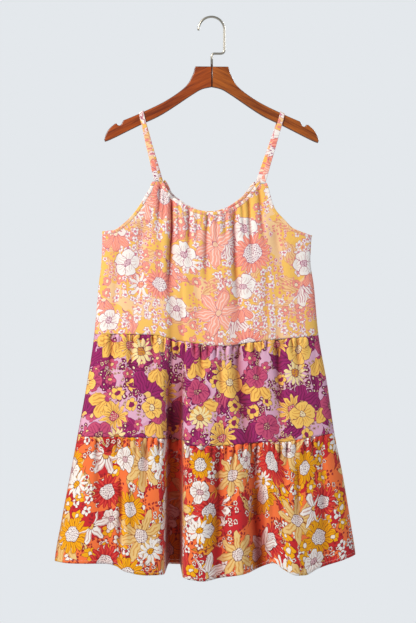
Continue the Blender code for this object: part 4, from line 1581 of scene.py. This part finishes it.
@dataclass
class Stitching:
    """Rows of machine stitches, laid along lines by Geometry Nodes."""

    pitch: float = 2.6 * MM
    length: float = 1.9 * MM
    thickness: float = 0.42 * MM

    def tree(self, material: bpy.types.Material) -> bpy.types.NodeTree:
        """Builds the node tree: stitches spaced along each edge line, realized, with their material.

        Args:
            material: the thread's material.

        Returns:
            The tree, with inputs for its sizes.
        """
        tree = bpy.data.node_groups.new("machine_stitches", "GeometryNodeTree")
        tree.interface.new_socket("Geometry", in_out="INPUT", socket_type="NodeSocketGeometry")
        for label in ("Pitch", "Length", "Thickness"):
            tree.interface.new_socket(label, in_out="INPUT", socket_type="NodeSocketFloat")
        tree.interface.new_socket("Geometry", in_out="OUTPUT", socket_type="NodeSocketGeometry")
        source, sink = tree.nodes.new("NodeGroupInput"), tree.nodes.new("NodeGroupOutput")
        line = add(tree, "GeometryNodeMeshToCurve", {0: source.outputs[0]})
        steps = {0: line, "Length": source.outputs["Pitch"]}
        spaced = add(tree, "GeometryNodeCurveToPoints", steps, mode="LENGTH")
        turn = spaced.node.outputs["Rotation"]
        bead = add(tree, "GeometryNodeMeshUVSphere", {"Segments": 6, "Rings": 4, "Radius": 0.5})
        thick, long = source.outputs["Thickness"], source.outputs["Length"]
        size = add(tree, "ShaderNodeCombineXYZ", {0: thick, 1: thick, 2: long})
        beads = {"Points": spaced, "Instance": bead, "Rotation": turn, "Scale": size}
        laid = add(tree, "GeometryNodeInstanceOnPoints", beads)
        real = add(tree, "GeometryNodeRealizeInstances", {0: laid})
        dressed = add(tree, "GeometryNodeSetMaterial", {0: real, "Material": material})
        feed(sink, {0: dressed})
        return tree

    def build(self, name: str, lines: Sequence[np.ndarray], material: bpy.types.Material) -> bpy.types.Object:
        """Sews lines of stitches.

        Args:
            name: the object's name.
            lines: the points of each line, in metres.
            material: the thread's material.

        Returns:
            One plain mesh object of all the stitches.
        """
        points, edges = [], []
        for line in lines:
            start = len(points)
            points += [tuple(p) for p in line]
            edges += [(start + i, start + i + 1) for i in range(len(line) - 1)]
        guide_mesh = bpy.data.meshes.new(name + "_lines")
        guide_mesh.from_pydata(points, edges, [])
        guide = place_object(name + "_lines", guide_mesh)
        modifier = guide.modifiers.new("stitches", "NODES")
        modifier.node_group = self.tree(material)
        sizes = {"Pitch": self.pitch, "Length": self.length, "Thickness": self.thickness}
        for item in modifier.node_group.interface.items_tree:
            if item.item_type == "SOCKET" and item.in_out == "INPUT" and item.name in sizes:
                modifier[item.identifier] = sizes[item.name]
        return place_object(name, plain_mesh(guide, name))


def vertex_normals(points: np.ndarray, outward: float) -> np.ndarray:
    """Finds the normals of a grid of points, pointing away from the body's middle.

    Args:
        points: rows of points.
        outward: the sign of the face's depth in Y.

    Returns:
        The unit normals.
    """
    down = np.gradient(points, axis=0)
    right = np.gradient(points, axis=1)
    normals = unit(np.cross(down, right))
    return normals if outward < 0 else -normals


STRAP_CUT_AT = {-1: (322.0, 148.0), 1: (92.0, 215.0)}  # where on the flat cloth each strap was cut, in mm
NECK_GATHERS = ((4.5, 9), (1.6, 3.6), (14, 54))  # least and most pitch, depth and length, in mm


@dataclass
class Sundress:
    """The dress: six panels in three tiers, four bindings, two straps and their stitches."""

    fabrics: dict[str, tuple]
    thread: bpy.types.Material
    stitching: Stitching = field(default_factory=Stitching)
    hem_depth: float = 11.0
    hem_stitch_rise: float = 5.5
    thread_proud: float = 0.12
    tuck: float = 2.4
    end_reach: float = 1.05  # how far a binding's cut end reaches, over a plain one
    foot_rise: float = 0.2 * MM
    top_rows: int = 92
    middle_rows: int = 62
    bottom_rows: int = 76

    def panels(self) -> list[tuple[str, Panel]]:
        """Plans the six panels, each with its edges, folds, creases and gathers.

        Returns:
            The name of each panel's print, and the panel.
        """
        edge = ARMHOLE_LEFT + NECKLINE + ARMHOLE_RIGHT
        turned, turned_neck = self.shifted_edge(edge), self.shifted_edge(NECKLINE)
        prints = ("top_print", "middle_print", "bottom_print")
        rows = (self.top_rows, self.middle_rows, self.bottom_rows)
        front_folds = (FRONT_NECK_FOLDS, FRONT_UPPER_FOLDS, FRONT_LOWER_FOLDS, FRONT_HEM_FOLDS)
        back_folds = ((), BACK_UPPER_FOLDS, BACK_LOWER_FOLDS, BACK_HEM_FOLDS)
        front_creases = (FRONT_BODICE_CREASES, FRONT_MIDDLE_CREASES, FRONT_BOTTOM_CREASES)
        back_creases = (BACK_BODICE_CREASES, BACK_MIDDLE_CREASES, BACK_BOTTOM_CREASES)
        made = []
        for side, guides, edges, neck, folds, creases, start, seed in (
            (Side.FRONT, FRONT_GUIDES, (edge, UPPER_SEAM, LOWER_SEAM, FRONT_HEM), (NECKLINE, 11, (-96, 88)),
             front_folds, front_creases, 0.0, 20),
            (Side.BACK, BACK_GUIDES, (turned, UPPER_SEAM, LOWER_SEAM, BACK_HEM), (turned_neck, 12, (-88, 80)),
             back_folds, back_creases, 700.0, 40),
        ):
            face = ClothFace(side, guides)
            gathers = (
                Gathers(*neck, *NECK_GATHERS),
                Gathers(UPPER_SEAM, seed, (-212, 194)),
                Gathers(LOWER_SEAM, seed + 1, (-242, 222)),
            )
            for k, tier in enumerate(("bodice", "middle_tier", "bottom_tier")):
                panel = Panel(
                    f"{tier}_{side.name.lower()}_cloth",
                    face,
                    *edges[k : k + 2],
                    *folds[k : k + 2],
                    rows[k],
                    Creases(creases[k]),
                    gathers[k],
                    (start, 0.0),
                    tuck_top=self.tuck if k else 0.0,
                    hem=self.hem_depth if k == 2 else 0.0,
                )
                made.append((prints[k], panel))
        return made

    @staticmethod
    def shifted_edge(edge: Table) -> Table:
        """Moves a front edge to where the back has it, further in at the straps and higher at the neck.

        Args:
            edge: the front's x and drop at each place.

        Returns:
            The back's.
        """
        places, shifts, rises = zip(*BACK_EDGE_SHIFT)
        moved = [(x + np.interp(x, places, shifts), drop - np.interp(x, places, rises)) for x, drop in edge]
        return tuple((float(x), float(drop)) for x, drop in moved)

    def build_panel(self, fabric: str, panel: Panel, points: np.ndarray, uv: np.ndarray) -> bpy.types.Object:
        """Builds one panel's shell.

        Args:
            fabric: the print's name.
            panel: the panel.
            points: its grid of points.
            uv: their flat places.

        Returns:
            The panel's object.
        """
        faces = grid_faces(points.shape[0], points.shape[1], panel.face.side is Side.BACK)
        piece = add_mesh(panel.name, points, faces, uv)
        # painted shade: how deep each point lies in a fold sets how much darker its colour is painted
        depth = piece.data.attributes.new("fold_depth", "FLOAT", "POINT")
        depth.data.foreach_set("value", panel.painted_shade_amounts(points).astype(np.float32).ravel())
        wall = piece.modifiers.new("wall", "SOLIDIFY")
        wall.thickness = panel.wall * MM
        wall.offset = 0
        wall.material_offset = 1
        node = panel.name.removesuffix("_cloth")
        finish_piece(piece, [node], self.fabrics[fabric])
        return piece

    @staticmethod
    def edge_frames(points: np.ndarray, side: Side, start: int, end: int) -> tuple:
        """Finds the points, outward ways and normals along part of the top tier's edge.

        Args:
            points: the top tier's points.
            side: front or back.
            start: the first column.
            end: the last column.

        Returns:
            Three arrays, of points, ways and normals.
        """
        row = points[0, start : end + 1]
        along = np.gradient(row, axis=0)
        away = unit(np.stack([-along[:, 2], 0 * along[:, 0], along[:, 0]], axis=-1))
        away[away[:, 2] < 0] *= -1
        normal = np.zeros_like(row)
        normal[:, 1] = side.value
        return row, away, normal

    def trim(self, piece: bpy.types.Object, node: str) -> bpy.types.Object:
        """Gives a binding or a strap the top tier's print, says its CAD node, and returns it."""
        finish_piece(piece, [node], self.fabrics["top_print"][:1])
        return piece

    def build_bindings(self, grids: dict, corners: dict) -> tuple[list[bpy.types.Object], list[np.ndarray]]:
        """Builds the neck's two bindings and one round each armhole.

        Args:
            grids: the top tier's points for each side.
            corners: the columns of its guide lines for each side.

        Returns:
            The four objects, and their lines of stitches.
        """
        runs = []
        for side, stop in ((Side.FRONT, 5), (Side.BACK, 3)):
            row, away, normal = self.edge_frames(grids[side], side, corners[side][2], corners[side][stop])
            for end in (0, -1):
                away[end] = (np.sign(away[end][0]) * self.end_reach, 0, 0)
            runs.append((f"neck_binding_{side.name.lower()}", (40.0, 90.0), (row, away, normal)))
        for hand, out in (("left", -1.0), ("right", 1.0)):
            halves = []
            for side in Side:
                last = grids[side].shape[1] - 1
                span = (0, corners[side][1]) if hand == "left" else (corners[side][-2], last)
                frames = self.edge_frames(grids[side], side, *span)
                turned = slice(None, None, -1 if hand == "left" else 1)
                row, away, normal = (part[turned].copy() for part in frames)
                away[0] = (np.sign(away[0][0]) * self.end_reach, 0, 0)
                away[-3:] = (0, 0, 1)
                normal[-1] = (out, 0, 0)
                normal[-2] = (out * 0.7, side.value * 0.7, 0)
                halves.append((row, away, normal))
            joined = [np.concatenate([front[:-1], back[::-1]]) for front, back in zip(*halves)]
            runs.append((f"armhole_binding_{hand}", (150.0, 30.0), joined))
        made, seams = [], []
        for node, cut_at, frames in runs:
            roll = Binding(node + "_roll", print_start=cut_at)
            made.append(self.trim(roll.build(*frames), node))
            seams.append(roll.seam_line(*frames)[1:-1])
        return made, seams

    def build_straps(self, grids: dict, corners: dict, hanger: "Hanger") -> list[bpy.types.Object]:
        """Builds the two straps between the top tier's peaks and over the plate.

        Args:
            grids: the top tier's points for each side.
            corners: the columns of its guide lines for each side.
            hanger: the hanger that they go over.

        Returns:
            The two objects.
        """
        made = []
        for hand, node in ((-1, "strap_left"), (1, "strap_right")):
            pair = slice(1, 3) if hand < 0 else slice(-3, -1)
            feet = []
            for side in Side:
                first, last = corners[side][pair]
                foot = (grids[side][0, first] + grids[side][0, last]) / 2
                feet.append(Vector(foot) + Vector((0, 0, self.foot_rise)))
            strap = Strap(
                node + "_cloth",
                hand=hand,
                over_x=hand * hanger.strap_x,
                plate_half=hanger.thickness / 2,
                plate_bevel=hanger.bevel,
                print_start=STRAP_CUT_AT[hand],
            )
            crown = hanger.top_at(hanger.strap_x) + 2 * strap.gap + strap.half_wall * MM
            made.append(self.trim(strap.build(*feet, crown), node))
        return made

    def hem_lines(self, panels: dict) -> list[np.ndarray]:
        """Returns the line of stitches above each hem.

        Args:
            panels: each tier's panel and points by tier and side.

        Returns:
            A line of points for the front and for the back.
        """
        lines = []
        for (tier, side), (panel, points) in panels.items():
            if tier != "bottom_tier":
                continue
            proud = (panel.wall / 2 + self.thread_proud) * MM
            lifted = points + vertex_normals(points, side.value) * proud
            height = points[:, :, 2] - points[-1:, :, 2]
            rise = self.hem_stitch_rise * MM
            line = []
            for c in range(2, points.shape[1] - 2):
                line.append([np.interp(rise, height[::-1, c], lifted[::-1, c, k]) for k in range(3)])
            lines.append(np.array(line))
        return lines

    def build(self, hanger: "Hanger") -> None:
        """Args:
            hanger: the hanger that the straps go over.
        """
        panels, grids, corners, pieces = {}, {}, {}, {}
        for fabric, panel in self.panels():
            points, uv = panel.grid()
            tier, side = panel.name.rsplit("_", 2)[0], panel.face.side
            panels[(tier, side)] = (panel, points)
            if tier == "bodice":
                grids[side] = points
                corners[side] = [column + 1 for column in panel.face.corners()]
            pieces[panel.name] = (self.build_panel(fabric, panel, points, uv), points, uv)
        bindings, seams = self.build_bindings(grids, corners)
        sewn = self.stitching.build("binding_stitches", seams, self.thread)
        finish_piece(sewn, [], [self.thread])
        trims = bindings + self.build_straps(grids, corners, hanger) + [sewn]
        hem = self.stitching.build("hem_stitches", self.hem_lines(panels), self.thread)
        finish_piece(hem, [], [self.thread])
        for name, (piece, points, uv) in pieces.items():
            with_pieces = {"bodice_front_cloth": trims, "bottom_tier_front_cloth": [hem]}.get(name, [])
            self.declare(piece, points, uv, with_pieces)

    @staticmethod
    def declare(piece: bpy.types.Object, points: np.ndarray, uv: np.ndarray, with_pieces: list) -> None:
        """Does nothing with a panel.

        Args:
            piece: the panel's object; not used.
            points: its grid of points; not used.
            uv: their flat places; not used.
            with_pieces: the trims and stitches that are sewn to it; not used.
        """


# ======================== the hanger


@dataclass
class Hanger:
    """The wooden plate in two glued halves, and its bent wire hook."""

    wood: bpy.types.Material
    metal: bpy.types.Material
    thickness: float = 12.0 * MM
    bevel: float = 1.8 * MM
    strap_x: float = 131.5 * MM
    block_top: float = 91.0
    block_half: float = 30.4
    joint_x: float = 0.05
    wire_sides: int = 16
    bend_parts: int = 40
    jog_radii: tuple[float, float] = (7 * MM, 5 * MM)
    tip: Table = ((0.75, 0.55), (0.45, 0.88))  # its rounded end's reach and width, over the wire's radius
    wire: float = 2.15 * MM
    bend: float = 24.15 * MM
    bend_x: float = -0.5 * MM
    leg_drop: float = 66.5 * MM
    shank_drop: float = 93.0 * MM
    plate_top: Table = ((31.6, 93), (36, 107), (50, 129.5), (87, 156), (136, 180), (165, 192.5))
    plate_notch: Table = ((167.2, 197), (170.5, 201.5), (174.5, 201.5), (176.5, 198.5))
    plate_tip: Table = ((180, 198.5), (190, 207), (196.5, 217), (200, 228))
    plate_bottom: Table = (
        (198.5, 232), (184, 226), (133, 200.5), (91, 180), (36, 143.5), (17.5, 133), (0, 129),
    )

    def top_at(self, x: float) -> float:
        """Returns the height of the plate's top edge in metres, at a distance from its middle."""
        run = spline([Vector((a, b, 0)) for a, b in self.plate_top], 6)
        return -float(np.interp(x / MM, [p.x for p in run], [p.y for p in run])) * MM

    def outline(self, hand: int) -> list[Vector]:
        """Draws one half's outline, from the middle outwards and back.

        Args:
            hand: -1 for the left half and 1 for the right one.

        Returns:
            Its points in metres.
        """
        run = [(self.joint_x, self.block_top), (self.block_half, self.block_top)]
        tables = (self.plate_top, self.plate_notch, self.plate_tip, self.plate_bottom)
        for table, parts in zip(tables, (8, 5, 6, 7)):
            run += [(p.x, p.y) for p in spline([Vector((*row, 0)) for row in table], parts)]
        run[-1] = (self.joint_x, run[-1][1])
        return [Vector((hand * x * MM, -drop * MM, 0)) for x, drop in run]

    def build_half(self, name: str, hand: int) -> None:
        """Builds one half of the plate with rounded edges.

        Args:
            name: the CAD node that it stands for.
            hand: -1 for the left half and 1 for the right one.
        """
        curve = bpy.data.curves.new(name, "CURVE")
        curve.dimensions = "2D"
        curve.fill_mode = "BOTH"
        curve.extrude = self.thickness / 2 - self.bevel
        curve.bevel_depth = self.bevel
        curve.bevel_resolution = 3
        curve.offset = -self.bevel
        points = self.outline(hand)
        line = curve.splines.new("POLY")
        line.points.add(len(points) - 1)
        for target, point in zip(line.points, points):
            target.co = (*point, 1)
        line.use_cyclic_u = True
        mesh = plain_mesh(place_object(name + "_outline", curve), name)
        for vert in mesh.vertices:
            vert.co = (vert.co.x, -vert.co.z, vert.co.y)
        point_outwards(mesh, merge=0.01 * MM)
        mesh.set_sharp_from_angle(angle=radians(50))
        finish_piece(place_object(name + "_wood", mesh), [name], [self.wood])

    @staticmethod
    def corner(at: Vector, before: Vector, after: Vector, radius: float, parts: int = 8) -> list[Vector]:
        """Rounds a square corner.

        Args:
            at: where the corner is.
            before: the way into it.
            after: the way out of it.
            radius: the bend's radius.
            parts: how many parts the arc gets.

        Returns:
            The points of the arc.
        """
        start, end = at - before * radius, at + after * radius
        centre = start + after * radius
        turns = [k / parts * pi / 2 for k in range(parts + 1)]
        return [centre + (start - centre) * cos(a) + (end - centre) * sin(a) for a in turns]

    def build_hook(self) -> None:
        """Builds the wire: a half circle, a leg, a jog to the middle and the shank."""
        centre = Vector((self.bend_x, 0, self.wire - self.bend))
        turns = [pi - pi * k / self.bend_parts for k in range(self.bend_parts + 1)]
        run = [centre + self.bend * Vector((cos(a), 0, sin(a))) for a in turns]
        down, inwards = Vector((0, 0, -1)), Vector((-1, 0, 0))
        leg_end = Vector((centre.x + self.bend, 0, -self.leg_drop))
        run += self.corner(leg_end, down, inwards, self.jog_radii[0])
        run += self.corner(Vector((0, 0, -self.leg_drop)), inwards, down, self.jog_radii[1])
        run.append(Vector((0, 0, -self.shank_drop)))
        line = np.array(run)
        angles = np.linspace(0, tau, self.wire_sides, endpoint=False)
        ahead = unit(np.gradient(line, axis=0))
        level = np.array([0.0, 1.0, 0.0])
        other = np.cross(ahead, level)
        ring = np.cos(angles)[None, :, None] * level + np.sin(angles)[None, :, None] * other[:, None, :]
        sections = line[:, None, :] + self.wire * ring
        caps = [line[0] - ahead[0] * self.wire * out + self.wire * wide * ring[0] for out, wide in self.tip]
        sections = np.concatenate([np.array(caps), sections])
        piece = sweep("hanger_hook_wire", sections)
        finish_piece(piece, ["hanger_hook", "hanger_shank"], [self.metal])

    def build(self) -> None:
        """Builds both halves of the plate and the hook."""
        self.build_half("hanger_left", -1)
        self.build_half("hanger_right", 1)
        self.build_hook()


# ======================== the studio


@dataclass
class Studio:
    """A plain pale floor far below, soft light from the upper left, and the camera."""

    wall_colour: str = "#E4E8EC"
    target: Vector = field(default_factory=lambda: Vector((-0.007, 0.0, -0.547)))
    distance: float = 4.4
    azimuth: float = radians(-4)
    camera_rise: float = -0.012  # over the distance
    surround_light: float = 0.30
    floor_radius: float = 2.6
    frame_height: float = 1.159
    floor_drop: float = 1.9
    floor_tones: tuple[str, str] = ("#D6DDE2", "#DFE5EA")
    lamps: tuple = (  # name, place, side in metres, watts and colour
        ("key", (-2.0, -1.7, 1.1), 0.8, 100, "#FFF9F2"),
        ("fill", (2.4, -1.3, 0.5), 1.4, 20, "#F2F6FF"),
        ("back", (1.6, 2.2, 0.6), 1.2, 56, "#F6F9FF"),
    )

    def aim(self, thing: bpy.types.Object, place: Vector) -> None:
        """Stands a light or a camera somewhere and points it at the dress."""
        thing.location = place
        thing.rotation_euler = (self.target - place).to_track_quat("-Z", "Y").to_euler()

    def light(self, name: str, place: Vector, size: float, power: float, tint: str) -> None:
        """Adds a square area light that points at the dress.

        Args:
            name: the light's name.
            place: where it stands.
            size: the length of its side.
            power: its power in watts.
            tint: its colour.
        """
        data = bpy.data.lights.new(name, "AREA")
        data.size = size
        data.energy = power
        data.color = linear(tint)[:3]
        self.aim(place_object(name, data), place)

    def build_world(self) -> None:
        """Sets the pale surround, dimmer as a light than as a background."""
        world = bpy.data.worlds.new("pale_surround")
        bpy.context.scene.world = world
        world.use_nodes = True
        tree = world.node_tree
        tree.nodes.clear()
        path = add(tree, "ShaderNodeLightPath", output="Is Camera Ray")
        strength = add(tree, "ShaderNodeMapRange", {0: path, 3: self.surround_light, 4: 1.0})
        surround = add(tree, "ShaderNodeBackground", {0: linear(self.wall_colour), 1: strength})
        add(tree, "ShaderNodeOutputWorld", {0: surround})

    def build_floor(self) -> None:
        """Adds the floor, well below the hem."""
        bpy.ops.mesh.primitive_circle_add(
            vertices=96, radius=self.floor_radius, fill_type="NGON", location=(0, 0, -self.floor_drop)
        )
        floor = bpy.context.object
        floor.name = "studio_floor"
        # Matt floor paint: to the eye flat and pale, with faint cloudy tones.
        made, tree, shader = new_material("matt_painted_floor")
        place = add(tree, "ShaderNodeTexCoord", output="Object")
        cloud = add(tree, "ShaderNodeTexNoise", {"Scale": 3.0, "Detail": 2.0, "Vector": place})
        known = work_out(tree, {"cloud": cloud}, [("tone", "MIX", "cloud", *self.floor_tones)])
        feed(shader, {"Base Color": known["tone"], "Roughness": 0.9})
        floor.data.materials.append(made)

    def build_camera(self) -> None:
        """Places the camera level with the middle of the dress, a little to its left."""
        data = bpy.data.cameras.new("camera")
        data.sensor_fit = "AUTO"
        data.lens = data.sensor_width * self.distance / self.frame_height
        away = Vector((sin(self.azimuth), -cos(self.azimuth), self.camera_rise)) * self.distance
        camera = place_object("camera", data)
        self.aim(camera, self.target + away)
        bpy.context.scene.camera = camera

    def build(self) -> None:
        """Builds the surround, the floor, the lights and the camera."""
        self.build_camera()
        self.build_world()
        self.build_floor()
        for name, place, size, power, tint in self.lamps:
            self.light(name, Vector(place), size, power, tint)
        view = bpy.context.scene.view_settings
        view.view_transform = "Standard"


# ======================== assembly


def main() -> None:
    """Builds the studio, the hanger and the dress, and reports each piece."""
    logging.basicConfig(level=logging.INFO, format="%(message)s")
    Studio().build()
    wood = VarnishedWood().material(Hanger.thickness / 2, Hanger.bevel)
    hanger = Hanger(wood, SatinNickel().material())
    hanger.build()
    motifs = {kind: motif_group(kind) for kind in Kind}
    fabrics = {}
    for chart in (TOP_PRINT, MIDDLE_PRINT, BOTTOM_PRINT):
        group = print_group(chart, motifs)
        cloth = PrintedViscose(chart)
        fabrics[chart.name] = (cloth.material(group, False), cloth.material(group, True))
    Sundress(fabrics, SewingThread("#F3D9C8").material()).build(hanger)


if __name__ == "__main__":
    main()
